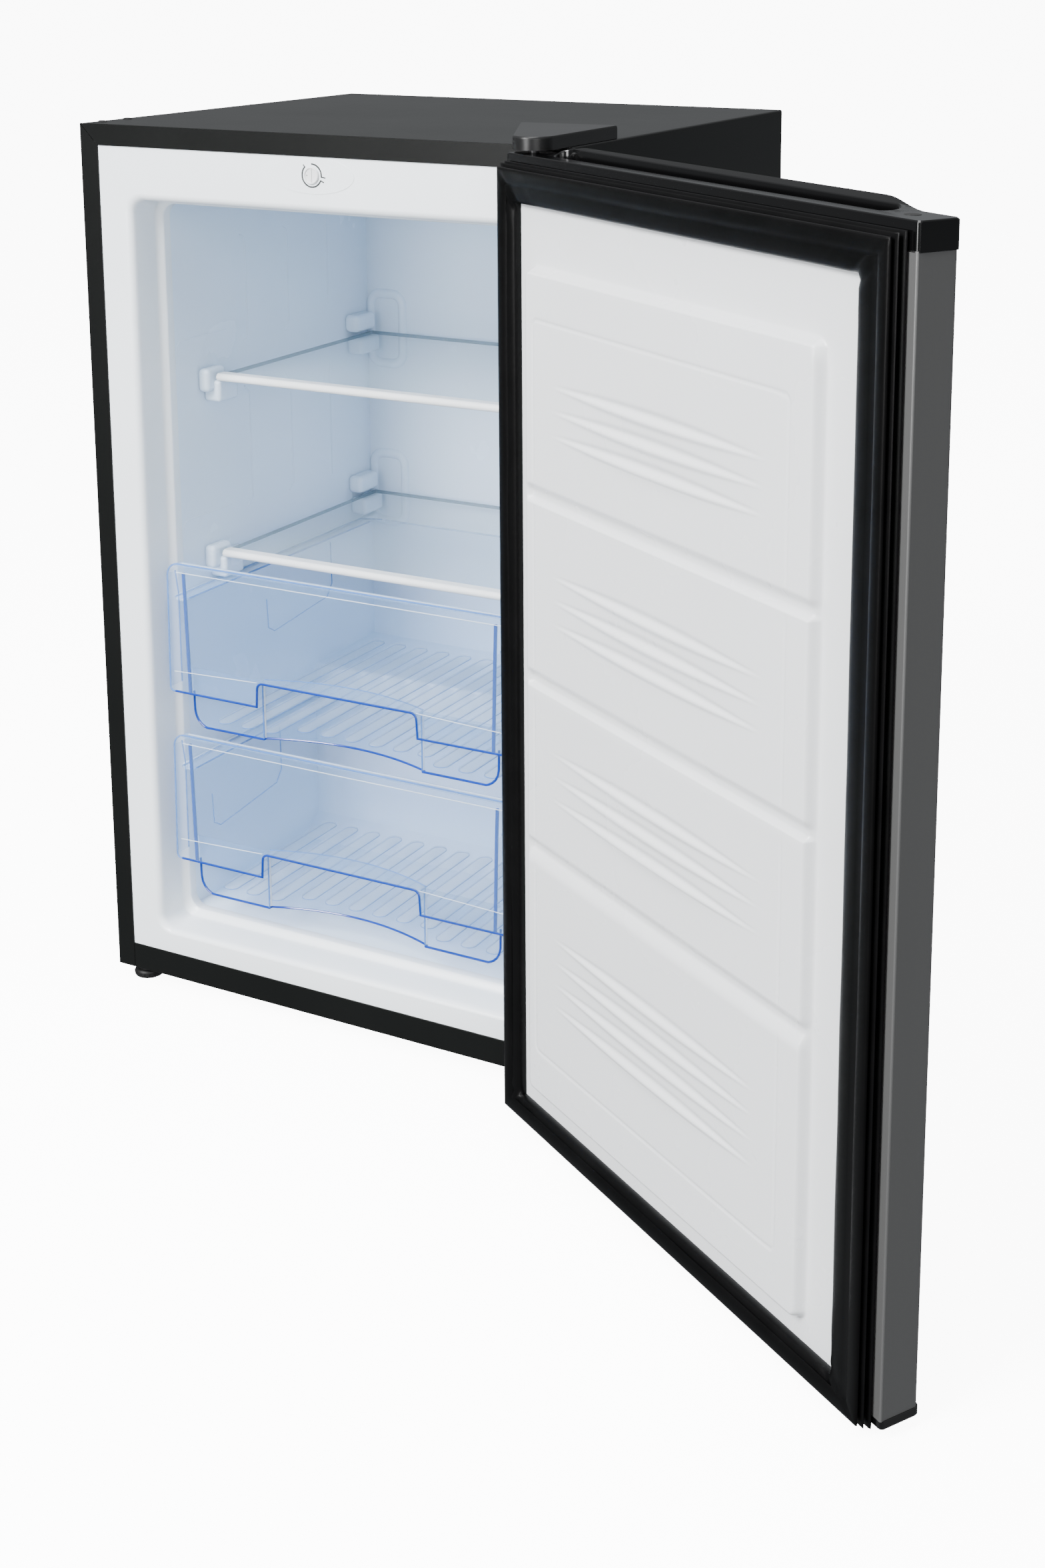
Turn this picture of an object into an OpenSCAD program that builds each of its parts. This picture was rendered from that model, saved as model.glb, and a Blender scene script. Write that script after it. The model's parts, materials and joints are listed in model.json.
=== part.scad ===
// Under-counter upright freezer with a swing door, two glass shelves and two clear drawers.
// Origin: centre of the cabinet's footprint on the floor. +X right, +Y back, +Z up.

/* [Cabinet] */
// Width of the cabinet
cab_w = 500; // [480:5:540]
// Depth of the cabinet without its door
cab_d = 435; // [425:5:480]
// Height of the cabinet without its feet
cab_h = 815; // [810:5:860]
// Height of the levelling feet under the cabinet
foot_h = 15; // [14:1:24]
// Width of the steel flange round the front opening
bezel = 19; // [14:1:22]
// Height of the front rail
rail_h = 25; // [20:1:32]
// Insulated side wall, from the outside to the liner's inner face
side_wall = 60; // [50:1:65]
// Insulated back wall
back_wall = 65; // [55:1:75]
// Insulated top, with the thermostat in its front
top_wall = 73; // [65:1:80]
// Insulated floor
floor_wall = 56; // [50:1:60]

/* [Shelves and drawers] */
// Top of the upper shelf's trim above the cabinet's bottom
shelf_upper_z = 579; // [560:1:600]
// Top of the lower shelf's trim above the cabinet's bottom
shelf_lower_z = 407; // [405:1:420]
// Top of the upper drawer's front above the cabinet's bottom
drawer_top_z = 410; // [405:1:415]
// Height from the lower drawer to the upper one
drawer_pitch = 168; // [165:1:170]
// Width of a drawer's front
drawer_w = 372; // [350:2:374]
// Width of a drawer's tub
tub_w = 336; // [320:2:340]

/* [Door] */
// Distance from the cabinet's front plane to the door's outer face
door_out = 46; // [42:1:60]
// Distance from the front plane to the steel's inner edge, which the gasket fills
door_in = 13.5; // [12:0.5:16]
// Height of the door's top cap
top_cap_h = 19; // [16:1:24]
// Angle at which the door stands open
door_open = 149; // [0:1:155]
// Hinge axis, inwards from the door's edge
hinge_in = 18; // [16:1:22]
// Hinge axis, forwards from the cabinet's front plane
hinge_out = 28.5; // [27:0.5:32]

/* [Hidden] */
$fn = 48;
sheet = 1;
liner_t = 2;
gap = 0.3;

left = -cab_w / 2;
right = cab_w / 2;
front = -cab_d / 2;
back = cab_d / 2;
base = foot_h;
top = base + cab_h;

// cavity inside the liner, with the hump over the compressor niche
in_x = cab_w / 2 - side_wall;
in_back = back - back_wall;
in_floor = base + floor_wall;
in_top = top - top_wall;
hump_front = front + 256;
hump_top = base + 238;
niche_front = front + 292;
niche_top = base + 190;

// thermostat dial, in the middle of the liner's top flange
dial_z = top - 35;
dial_r = 7.4;

// shelves
glass_t = 4;
glass_x = 177;
shelf_front = front + 88;
shelf_back = front + 358;
shelf_zs = [base + shelf_upper_z, base + shelf_lower_z];

// drawers: heights above a drawer's own bottom
drawer_h = 160;
tub_h = 126;
skirt_z = 35;
grip_z = 58;
grip_w = 172;
drawer_front = front + 15;
drawer_wall = 2;
upper_tub_back = front + 345;
lower_tub_back = front + 248;

// door, drawn shut and then swung open
hinge_x = right - hinge_in;
hinge_y = front - hinge_out;
door_z0 = base + 3;
door_z1 = top - 3 - top_cap_h;
cap_z0 = base - 4;
panel_hinge_x = 206;
panel_free_x = -167;
groove_heights = [base + 243, base + 387, base + 541];
pin_r = 4;
bush_r = 7;
bush_fit = 0.05;

// front feet
foot_x = cab_w / 2 - 20;
foot_y = front + 20;
stud_r = 4;

// compressor, in the niche
comp_x = -50;
comp_y = niche_front + 71;
comp_z = base + 18;
comp_r = 56;

// screws of the top hinge from the right front corner; the spare holes for a left hinge mirror them
hinge_screws = [[-10, 19], [-10, 54]];

// a box from its low corner to its high corner
module block(low, high) {
    translate(low) cube(high - low);
}

// a box that is the same on both sides of the middle plane
module wide_block(half, y0, z0, y1, z1) {
    block([-half, y0, z0], [half, y1, z1]);
}

// a picture frame standing in an X-Z plane
module frame_xz(x0, z0, x1, z1, band, y0, y1) {
    difference() {
        block([x0, y0, z0], [x1, y1, z1]);
        block([x0 + band, y0 - 1, z0 + band], [x1 - band, y1 + 1, z1 - band]);
    }
}

// a slot with round ends, along X
module stadium(length, width) {
    square([length - width, width], center = true);
    for (side = [-1, 1]) translate([side * (length - width) / 2, 0]) circle(d = width);
}

// a straight tube's outside from one point to another
module rod(from, to, r) {
    way = to - from;
    span = norm(way);
    translate(from) rotate([0, acos(way[2] / span), atan2(way[1], way[0])]) cylinder(h = span, r = r);
}

// a pipe through a list of points, with a round bend at each point between the ends
module bent_pipe(p, r, bend) {
    last = len(p) - 1;
    way = [for (i = [0 : last - 1]) (p[i + 1] - p[i]) / norm(p[i + 1] - p[i])];
    turn = [for (i = [1 : last - 1]) acos(way[i - 1] * way[i])];
    trim = [0, for (a = turn) bend * tan(a / 2), 0];
    for (i = [0 : last - 1]) rod(p[i] + way[i] * trim[i], p[i + 1] - way[i] * trim[i + 1], r);
    for (i = [1 : last - 1]) {
        u = way[i - 1];
        across = way[i] - u * (u * way[i]);
        n = across / norm(across);
        w = cross(-n, u);
        c = p[i] - u * trim[i] + n * bend;
        multmatrix([[-n[0], u[0], w[0], c[0]], [-n[1], u[1], w[1], c[1]], [-n[2], u[2], w[2], c[2]]])
            rotate_extrude(angle = turn[i - 1]) translate([bend, 0]) circle(r);
    }
}

module pan_screw(r, shank) {
    cylinder(h = 2.4, r = 2 * r);
    translate([0, 0, -shank]) cylinder(h = shank, r = r);
}

// ---- cabinet ----

module outer_shell() {
    color([0.09, 0.09, 0.09]) difference() {
        block([left, front, base], [right, back, top]);
        block([left + sheet, front + sheet, base - 1], [right - sheet, back + 1, top - sheet]);
        wide_block(cab_w / 2 - bezel, front - 1, base - 1, front + sheet + 1, top - bezel + 1);
        at_hinge_screws() cylinder(h = 4, r = 2.7, center = true);
        at_plug_holes() cylinder(h = 4, r = 3.5, center = true);
    }
}

module at_hinge_screws() {
    for (p = hinge_screws) translate([right + p[0], front + p[1], top]) children();
}

module at_plug_holes() {
    mirror([1, 0, 0]) at_hinge_screws() children();
}

module rear_panel() {
    color([0.12, 0.12, 0.12])
        wide_block(cab_w / 2 - sheet - 0.2, back - sheet, niche_top + sheet + 0.2, back, top - sheet - 0.2);
}

module base_panel() {
    color("silver") difference() {
        wide_block(cab_w / 2 - sheet - 0.2, front + sheet + 0.2, base, niche_front - sheet - 0.2, base + sheet);
        for (side = [-1, 1]) translate([side * foot_x, foot_y, base]) cylinder(h = 6, r = stud_r + 0.2, center = true);
        at_bottom_screws() cylinder(h = 6, r = 2.7, center = true);
    }
}

module front_rail() {
    color([0.09, 0.09, 0.09]) {
        wide_block(cab_w / 2 - bezel - 0.2, front, base, front + sheet, base + rail_h);
        wide_block(cab_w / 2 - 40, front + sheet, base + 1.2, front + 12, base + 2.2);
    }
}

// the folded sheet between the foam and the compressor's niche
module niche_panel() {
    half = cab_w / 2 - sheet - 0.2;
    color("silver") {
        wide_block(half, niche_front - sheet, base, niche_front, niche_top + sheet);
        wide_block(half, niche_front, niche_top, back, niche_top + sheet);
    }
}

// outside of the liner's tub, grown by a margin
module liner_outside(margin) {
    grow = liner_t + margin;
    difference() {
        wide_block(in_x + grow, front, in_floor - grow, in_back + grow, in_top + grow);
        wide_block(in_x + grow + 1, hump_front + grow, in_floor - grow - 1, in_back + grow + 1, hump_top - grow);
    }
}

// a runner for a drawer's rim, on one wall
module runner(z, y_end) {
    block([in_x - 9, front + 34, z - 7], [in_x + 0.5, y_end, z]);
}

// the block under a shelf's front corner, and the clip at its back corner
module shelf_lugs(z) {
    bottom = z - 4 - glass_t;
    block([glass_x + 1, front + 84, bottom - 16], [in_x + 0.5, front + 130, z]);
    block([glass_x - 8, front + 106, bottom - 16], [in_x, front + 130, bottom]);
    block([glass_x + 1, front + 332, bottom - 12], [in_x + 0.5, in_back + 0.5, z + 6]);
    block([glass_x - 8, front + 332, bottom - 12], [in_x, in_back + 0.5, bottom]);
    block([glass_x - 6, front + 342, z - 3.6], [in_x, in_back + 0.5, z + 6]);
}

module inner_liner() {
    color([0.9, 0.93, 0.95]) {
        difference() {
            union() {
                wide_block(cab_w / 2 - bezel + 5, front + sheet, base + rail_h - 5,
                    front + sheet + liner_t, top - bezel + 6);
                difference() {
                    liner_outside(0);
                    wide_block(cab_w, front - 1, base, front + sheet, top);
                }
            }
            difference() {
                wide_block(in_x, front - 1, in_floor, in_back, in_top);
                wide_block(in_x + 1, hump_front, in_floor - 1, in_back + 1, hump_top);
            }
            translate([0, front, dial_z]) rotate([90, 0, 0]) cylinder(h = 12, r = dial_r + 0.5, center = true);
        }
        for (side = [0, 1]) mirror([side, 0, 0]) {
            for (z = shelf_zs) shelf_lugs(z);
            runner(upper_rim_z() - gap, in_back + 0.5);
            runner(upper_rim_z() - drawer_pitch - gap, hump_front + 0.5);
        }
    }
}

module cabinet_foam() {
    color([0.93, 0.88, 0.62]) difference() {
        wide_block(cab_w / 2 - sheet, front + sheet + liner_t + 0.2, base + 3, back - sheet, top - sheet);
        liner_outside(0);
        // set back round the liner's mouth, in two steps
        wide_block(in_x + 17, front, in_floor - 15, front + 17, in_top + 16);
        wide_block(in_x + 8.5, front, in_floor - 9, front + 47, in_top + 7);
        wide_block(cab_w, niche_front - sheet, base - 1, back + 1, niche_top + sheet);
        evaporator_path(4.2);
        wide_block(24, front, dial_z - 16, front + 42, dial_z + 16);
        for (side = [-1, 1]) translate([side * foot_x, foot_y, base]) cylinder(h = 45, r = stud_r + 2);
        at_bottom_screws() cylinder(h = 30, r = 3, center = true);
        at_hinge_screws() cylinder(h = 26, r = 3, center = true);
        at_plug_holes() cylinder(h = 26, r = 4, center = true);
    }
}

// loops round the liner's sides and back, in one run
module evaporator_path(r) {
    side_x = in_x + liner_t + 4.3;
    back_y = in_back + liner_t + 4.3;
    start_y = front + 40;
    loops = 6;
    loop_pitch = 82;
    bent_pipe([for (i = [0 : loops - 1], j = [0 : 3])
        [(i % 2 == 0 ? 1 : -1) * (j < 2 ? -1 : 1) * side_x, j == 1 || j == 2 ? back_y : start_y,
            hump_top + 60 + i * loop_pitch]], r, 4.5);
}

module evaporator_tube() {
    color([0.75, 0.76, 0.78]) evaporator_path(4);
}

module thermostat_body() {
    color([0.85, 0.85, 0.82]) {
        wide_block(22, front + 8, dial_z - 14, front + 38, dial_z + 14);
        translate([0, front + 8.5, dial_z]) rotate([90, 0, 0]) cylinder(h = 7.5, r = 3);
    }
}

module thermostat_panel() {
    color("white") translate([0, front + sheet, dial_z]) rotate([90, 0, 0]) difference() {
        linear_extrude(sheet) stadium(86, 32);
        cylinder(h = 4, r = dial_r + 0.5, center = true);
    }
}

module knob() {
    color("white") translate([0, front + 4, dial_z]) rotate([90, 0, 0]) difference() {
        cylinder(h = 5.2, r = dial_r);
        translate([0, 0, -1]) cylinder(h = 4.2, r = 3 + bush_fit);
        translate([0, 0, 4.9]) cube([1.6, 12, 1.6], center = true);
    }
}

// ---- hinges ----

module top_hinge_bracket() {
    color("gray") difference() {
        union() {
            translate([hinge_x, hinge_y, top]) cylinder(h = 2.5, r = 13);
            block([hinge_x - 13, hinge_y, top], [hinge_x + 13, front + 68, top + 2.5]);
            block([hinge_x - 36, front + 34, top], [hinge_x, front + 68, top + 2.5]);
        }
        at_hinge_screws() cylinder(h = 8, r = 2.7, center = true);
        translate([hinge_x, hinge_y, top]) cylinder(h = 8, r = pin_r, center = true);
    }
}

module top_hinge_pin() {
    color("silver") translate([hinge_x, hinge_y, 0]) {
        translate([0, 0, door_z1 + 1]) cylinder(h = top + 2.5 - door_z1 - 1, r = pin_r);
        translate([0, 0, top + 2.5]) cylinder(h = 2, r = 7);
    }
}

// rounded triangle that covers the bracket
module cover_outline(inset) {
    hull() {
        translate([hinge_x, hinge_y]) circle(17 - inset, $fn = 32);
        translate([right - 82, front + 70]) circle(5 - inset, $fn = 32);
        translate([right - 6, front + 82]) circle(5 - inset, $fn = 32);
    }
}

module top_hinge_cover() {
    color([0.06, 0.06, 0.06]) difference() {
        translate([0, 0, top]) linear_extrude(11) cover_outline(0);
        translate([0, 0, top - 1]) linear_extrude(10) cover_outline(1.8);
    }
}

module top_hinge_screws() {
    color("silver") at_hinge_screws() translate([0, 0, 2.5]) pan_screw(2.5, 14);
}

module hinge_hole_plugs() {
    color([0.05, 0.05, 0.05]) at_plug_holes() {
        translate([0, 0, -6]) cylinder(h = 6, r = 3.4);
        cylinder(h = 1, r = 4.6);
    }
}

module at_bottom_screws() {
    for (p = [[-52, 17], [-52, 46], [-12, 46]]) translate([right + p[0], front + p[1], base]) children();
}

module bottom_hinge_bracket() {
    color([0.2, 0.2, 0.2]) difference() {
        union() {
            block([right - 60, front + 3, base - 2.5], [right - 3, front + 60, base]);
            block([hinge_x - 14, front + 3, base - 11.5], [right - 3, front + 5.5, base]);
            block([hinge_x - 13, hinge_y, base - 11.5], [hinge_x + 13, front + 5.5, base - 9]);
            translate([hinge_x, hinge_y, base - 11.5]) cylinder(h = 2.5, r = 13);
        }
        translate([foot_x, foot_y, base]) cylinder(h = 12, r = stud_r + 0.2, center = true);
        translate([hinge_x, hinge_y, base - 10]) cylinder(h = 8, r = pin_r, center = true);
        at_bottom_screws() cylinder(h = 12, r = 2.7, center = true);
    }
}

module bottom_hinge_pin() {
    color("silver") translate([hinge_x, hinge_y, base - 11.5]) cylinder(h = 24, r = pin_r);
}

module bottom_hinge_screws() {
    color("silver") at_bottom_screws() translate([0, 0, -2.5]) mirror([0, 0, 1]) pan_screw(2.5, 14);
}

// ---- feet ----

module rear_feet() {
    color([0.05, 0.05, 0.05]) for (side = [-1, 1]) translate([side * (cab_w / 2 - 28), back - 30, 0]) {
        cylinder(h = base, r = 12);
        cylinder(h = 4, r = 14);
    }
}

// levelling foot: a disc with a threaded stud through the base panel
module levelling_foot(side) {
    color([0.05, 0.05, 0.05]) translate([side * foot_x, foot_y, 0]) {
        cylinder(h = 5, r = 14);
        translate([0, 0, 5]) cylinder(h = 3, r1 = 14, r2 = 12);
        cylinder(h = base + 24, r = stud_r);
    }
}

module foot_left() {
    levelling_foot(-1);
}

module foot_right() {
    levelling_foot(1);
}

// ---- cooling unit ----

grommet_places = [for (x = [-82, 82], y = [-42, 42]) [comp_x + x, comp_y + y]];

module compressor_plate() {
    half = cab_w / 2 - sheet - 0.5;
    color([0.15, 0.15, 0.15]) difference() {
        union() {
            wide_block(half, niche_front + 4, base, back - 4, base + 2);
            wide_block(half, back - 6, base, back - 4, base + 14);
        }
        for (p = grommet_places) translate([p[0], p[1], base]) cylinder(h = 12, r = 3.2, center = true);
    }
}

module compressor() {
    dome_r = 85;
    color([0.08, 0.08, 0.08]) {
        difference() {
            translate([comp_x - 96, comp_y - 54, comp_z]) cube([192, 108, 3]);
            for (p = grommet_places) translate([p[0], p[1], comp_z]) cylinder(h = 12, r = 3.2, center = true);
        }
        translate([comp_x, comp_y, comp_z + 2]) {
            cylinder(h = 70, r = comp_r);
            translate([0, 0, 66]) cylinder(h = 5, r = comp_r + 4);
            cylinder(h = 104, r = comp_r - 2);
            translate([0, 0, 104]) intersection() {
                translate([0, 0, -sqrt(dome_r * dome_r - pow(comp_r - 2, 2))]) sphere(dome_r, $fn = 96);
                cylinder(h = 40, r = comp_r - 2);
            }
        }
    }
}

module compressor_grommets() {
    color([0.1, 0.1, 0.1]) for (p = grommet_places) translate([p[0], p[1], base + 2]) difference() {
        cylinder(h = comp_z - base - 2, r = 10);
        cylinder(h = 60, r = 3.2, center = true);
    }
}

module compressor_bolts() {
    color("silver") for (p = grommet_places) translate([p[0], p[1], comp_z + 3]) {
        cylinder(h = 4, r = 6, $fn = 6);
        translate([0, 0, base - comp_z - 6]) cylinder(h = comp_z - base + 6, r = 3);
    }
}

module terminal_cover() {
    color([0.1, 0.1, 0.1]) difference() {
        translate([comp_x + 44, comp_y - 27, comp_z + 10]) cube([48, 54, 52]);
        translate([comp_x, comp_y, comp_z]) cylinder(h = 90, r = comp_r + 0.2);
    }
}

// where a mains lead would enter
module cable_gland() {
    color([0.1, 0.1, 0.1]) translate([comp_x + 92, comp_y + 8, comp_z + 26]) rotate([0, 90, 0]) difference() {
        union() {
            cylinder(h = 12, r = 8, $fn = 6);
            cylinder(h = 20, r = 6);
        }
        translate([0, 0, 3]) cylinder(h = 40, r = 3.6);
    }
}

drier = [150, niche_front + 36, base + 42];

module filter_drier() {
    color([0.72, 0.42, 0.26]) translate(drier) {
        cylinder(h = 70, r = 9);
        translate([0, 0, 70]) cylinder(h = 14, r1 = 9, r2 = 3);
        mirror([0, 0, 1]) cylinder(h = 14, r1 = 9, r2 = 3);
    }
}

module suction_pipe() {
    side = comp_x - comp_r - 22;
    riser = comp_x - comp_r - 80;
    color([0.72, 0.42, 0.26]) bent_pipe([[comp_x - comp_r + gap, comp_y + 10, comp_z + 40],
        [side, comp_y + 10, comp_z + 40], [side, comp_y + 10, comp_z + 120],
        [riser, comp_y + 10, comp_z + 120], [riser, comp_y + 10, niche_top - 1]], 3.2, 9);
}

condenser_y = back + 4.6;
condenser_x = 206;
run_count = 12;
run_pitch = 46;
run_z = base + 238;

module discharge_pipe() {
    outlet = [30, 49];
    color([0.72, 0.42, 0.26]) bent_pipe([[comp_x + outlet[0], comp_y + outlet[1], comp_z + 60],
        [comp_x + outlet[0], back - 10, comp_z + 60], [condenser_x, back - 10, comp_z + 60],
        [condenser_x, back - 10, comp_z + 120], [condenser_x, condenser_y, comp_z + 120],
        [condenser_x, condenser_y, run_z - 20]], 2.4, 7);
}

// one run, back and forth up the back
module condenser_tube() {
    color([0.1, 0.1, 0.1]) bent_pipe(concat([[condenser_x, condenser_y, run_z - 20]],
        [for (i = [0 : run_count - 1], j = [0, 1])
            [(i + j) % 2 == 0 ? condenser_x : -condenser_x, condenser_y, run_z + i * run_pitch]],
        [[condenser_x, condenser_y, run_z + (run_count - 1) * run_pitch + 20]]), 2.4, 14);
}

module condenser_wires() {
    wire_r = 0.8;
    color([0.1, 0.1, 0.1]) for (i = [0 : 24], side = [-1, 1])
        translate([(i - 12) * 14 + side * 3.5, condenser_y + side * (2.4 + wire_r - 0.1), run_z - 14])
            cylinder(h = (run_count - 1) * run_pitch + 28, r = wire_r, $fn = 16);
}

module condenser_brackets() {
    color([0.1, 0.1, 0.1]) difference() {
        for (x = [-182, 182], i = [1, run_count - 2])
            translate([x - 8, back, run_z + i * run_pitch - 10]) cube([16, 8.6, 20]);
        for (i = [1, run_count - 2]) rod([-condenser_x, condenser_y, run_z + i * run_pitch],
            [condenser_x, condenser_y, run_z + i * run_pitch], 2.45);
    }
}

module evaporation_tray() {
    z = comp_z + 2 + 104 + 22;
    color([0.15, 0.15, 0.15]) difference() {
        translate([comp_x - 75, comp_y - 58, z]) cube([150, 116, 16]);
        translate([comp_x - 73, comp_y - 56, z + 2]) cube([146, 112, 16]);
    }
}

// ---- shelves ----

module shelf_glass(z) {
    color([0.8, 0.9, 0.95, 0.4]) wide_block(glass_x, shelf_front + 6, z - 4 - glass_t, shelf_back, z - 4);
}

module shelf_trim(z) {
    color("white") difference() {
        wide_block(glass_x - 0.5, shelf_front, z - 11, shelf_front + 16, z);
        wide_block(glass_x + 1, shelf_front + 6, z - 4 - glass_t, shelf_front + 20, z - 4);
    }
}

module shelf_upper_glass() { shelf_glass(shelf_zs[0]); }
module shelf_upper_trim() { shelf_trim(shelf_zs[0]); }
module shelf_lower_glass() { shelf_glass(shelf_zs[1]); }
module shelf_lower_trim() { shelf_trim(shelf_zs[1]); }

// ---- drawers ----

function drawer_bottom() = base + drawer_top_z - drawer_h;
function upper_rim_z() = drawer_bottom() + tub_h - 2;

// one clear moulding: a tub with side rims, and a taller front with a finger slot
module drawer(z, tub_back) {
    inner = tub_w / 2 - drawer_wall;
    color([0.55, 0.7, 0.95, 0.5]) {
        difference() {
            wide_block(tub_w / 2, drawer_front + 8, z, tub_back, z + tub_h);
            wide_block(inner, drawer_front + 8 + drawer_wall, z + drawer_wall, tub_back - drawer_wall,
                z + tub_h + 1);
        }
        for (side = [0, 1]) mirror([side, 0, 0])
            block([tub_w / 2 - 1, drawer_front + 8, z + tub_h - 2], [tub_w / 2 + 15, tub_back, z + tub_h]);
        // front, from the skirt's edge up, with the finger slot cut up into it
        difference() {
            wide_block(drawer_w / 2, drawer_front, z + skirt_z, drawer_front + 2.5, z + drawer_h);
            wide_block(grip_w / 2, drawer_front - 1, z + skirt_z - 1, drawer_front + 4, z + grip_z);
        }
        wide_block(drawer_w / 2, drawer_front, z + drawer_h - 2, drawer_front + 10, z + drawer_h);
        wide_block(tub_w / 2, drawer_front + 8, z + tub_h - 1, drawer_front + 10, z + drawer_h);
        for (x = [-grip_w / 2 - 1, grip_w / 2 - 1])
            block([x, drawer_front, z + 2], [x + 2, drawer_front + 9, z + grip_z]);
        for (side = [0, 1]) mirror([side, 0, 0])
            block([grip_w / 2 - 1, drawer_front, z], [tub_w / 2, drawer_front + 9, z + 2]);
        for (side = [0, 1]) mirror([side, 0, 0])
            block([grip_w / 2 - 1, drawer_front, z], [tub_w / 2, drawer_front + 2, z + skirt_z + 1]);
        wide_block(grip_w / 2, drawer_front, z + grip_z - 2, drawer_front + 9, z + grip_z);
        for (i = [-5 : 5])
            block([i * 27 - 4, drawer_front + 30, z + 1], [i * 27 + 4, tub_back - 24, z + 3.5]);
    }
}

module drawer_upper() { drawer(drawer_bottom(), upper_tub_back); }
module drawer_lower() { drawer(drawer_bottom() - drawer_pitch, lower_tub_back); }

// ---- door ----

module swing() {
    translate([hinge_x, hinge_y, 0]) rotate([0, 0, door_open]) translate([-hinge_x, -hinge_y, 0]) children();
}

module hinge_bore(z, h, r) {
    translate([hinge_x, hinge_y, z]) cylinder(h = h, r = r);
}

module door_skin() {
    color([0.32, 0.32, 0.32]) swing() difference() {
        wide_block(cab_w / 2, front - door_out, door_z0, front - door_in, door_z1);
        wide_block(cab_w / 2 - sheet, front - door_out + sheet, door_z0 - 1, front - door_in - sheet, door_z1 + 1);
        wide_block(cab_w / 2 - 12, front - door_in - 2, door_z0 - 1, front - door_in + 1, door_z1 + 1);
    }
}

module door_top_cap() {
    pocket_y = front - (door_in + door_out) / 2;
    color([0.05, 0.05, 0.05]) swing() difference() {
        wide_block(cab_w / 2, front - door_out - 1, door_z1, front - door_in, door_z1 + top_cap_h);
        hinge_bore(door_z1 - 1, 60, bush_r);
        translate([0, pocket_y, door_z1 + top_cap_h - 9]) linear_extrude(20) stadium(cab_w - 120, 11);
        translate([left + 25, pocket_y, door_z1 + top_cap_h - 5]) cylinder(h = 20, r = 6);
    }
}

module door_cap_plug() {
    color([0.08, 0.08, 0.08]) swing()
        translate([left + 25, front - (door_in + door_out) / 2, door_z1 + top_cap_h - 5]) cylinder(h = 5.5, r = 6);
}

module door_bottom_cap() {
    color([0.05, 0.05, 0.05]) swing() difference() {
        wide_block(cab_w / 2, front - door_out - 1, cap_z0, front - door_in, door_z0);
        hinge_bore(cap_z0 - 1, 60, bush_r);
    }
}

// raised middle of the door's liner, grown inwards by a margin
module door_panel(margin, y_face) {
    block([panel_free_x + margin, front - door_in, base + 30 + margin],
        [panel_hinge_x - margin, y_face, base + 726 - margin]);
}

module door_foam() {
    color([0.93, 0.88, 0.62]) swing() difference() {
        union() {
            wide_block(cab_w / 2 - sheet - 0.2, front - door_out + sheet + 0.2, door_z0 + 0.2,
                front - door_in - sheet - 0.2, door_z1 - 0.2);
            translate([0, -1.4, 0]) door_panel(liner_t + 0.2, front - 8.4);
        }
        hinge_bore(base - 20, 60, bush_r + 0.2);
    }
}

module door_liner() {
    color([0.9, 0.92, 0.93]) swing() difference() {
        union() {
            wide_block(cab_w / 2 - 8, front - door_in, base - 1, front - door_in + liner_t, top - 13);
            door_panel(0, front - 3);
        }
        translate([0, -1, 0]) door_panel(liner_t, front - 3 - liner_t + 1);
        for (z = groove_heights)
            block([panel_free_x - 1, front - 4, z], [panel_hinge_x + 1, front - 2, z + 14]);
    }
}

// gasket: a wide base, and an outer bead that meets the cabinet's flange
gasket_x0 = left + 11;
gasket_x1 = right - 6;
gasket_z0 = base - 3;
gasket_z1 = top - 11;

module door_gasket() {
    swing_r = hinge_out - gap;
    bead = front - gap;
    color([0.04, 0.04, 0.04]) swing() difference() {
        union() {
            frame_xz(gasket_x0, gasket_z0, gasket_x1, gasket_z1, 26, front - door_in + liner_t, front - 5);
            frame_xz(gasket_x0, gasket_z0, gasket_x1, gasket_z1, 12, front - 6, bead);
        }
        gasket_chamber(0.1);
        difference() {
            block([hinge_x, front - 14, base - 20], [right, front, top]);
            hinge_bore(base - 30, cab_h + 60, swing_r);
        }
    }
}

module gasket_chamber(margin) {
    frame_xz(gasket_x0 + 3 - margin, gasket_z0 + 3 - margin, gasket_x1 - 3 + margin, gasket_z1 - 3 + margin,
        7 + 2 * margin, front - 7 - margin, front - 4 + margin);
}

module gasket_magnets() {
    color([0.25, 0.2, 0.18]) swing() gasket_chamber(0);
}

module hinge_bush(z, h) {
    color([0.85, 0.85, 0.8]) swing() difference() {
        hinge_bore(z, h, bush_r);
        hinge_bore(z - 1, h + 2, pin_r + bush_fit);
    }
}

module upper_hinge_bush() { hinge_bush(door_z1, top_cap_h); }
module lower_hinge_bush() { hinge_bush(cap_z0, 18); }

outer_shell();
rear_panel();
base_panel();
front_rail();
niche_panel();
inner_liner();
cabinet_foam();
evaporator_tube();
thermostat_body();
thermostat_panel();
knob();
top_hinge_bracket();
top_hinge_pin();
top_hinge_cover();
top_hinge_screws();
hinge_hole_plugs();
bottom_hinge_bracket();
bottom_hinge_pin();
bottom_hinge_screws();
rear_feet();
foot_left();
foot_right();
compressor_plate();
compressor();
compressor_grommets();
compressor_bolts();
terminal_cover();
cable_gland();
filter_drier();
suction_pipe();
discharge_pipe();
evaporation_tray();
condenser_tube();
condenser_wires();
condenser_brackets();
shelf_upper_glass();
shelf_upper_trim();
shelf_lower_glass();
shelf_lower_trim();
drawer_upper();
drawer_lower();
door_skin();
door_top_cap();
door_bottom_cap();
door_foam();
door_liner();
door_gasket();
gasket_magnets();
door_cap_plug();
upper_hinge_bush();
lower_hinge_bush();
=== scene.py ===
"""Looks of an under-counter upright freezer with its door open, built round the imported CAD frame."""

import json
from math import cos, exp, pi, radians, sin, sqrt

import bmesh
import bpy
from mathutils import Matrix, Vector, noise


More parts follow.
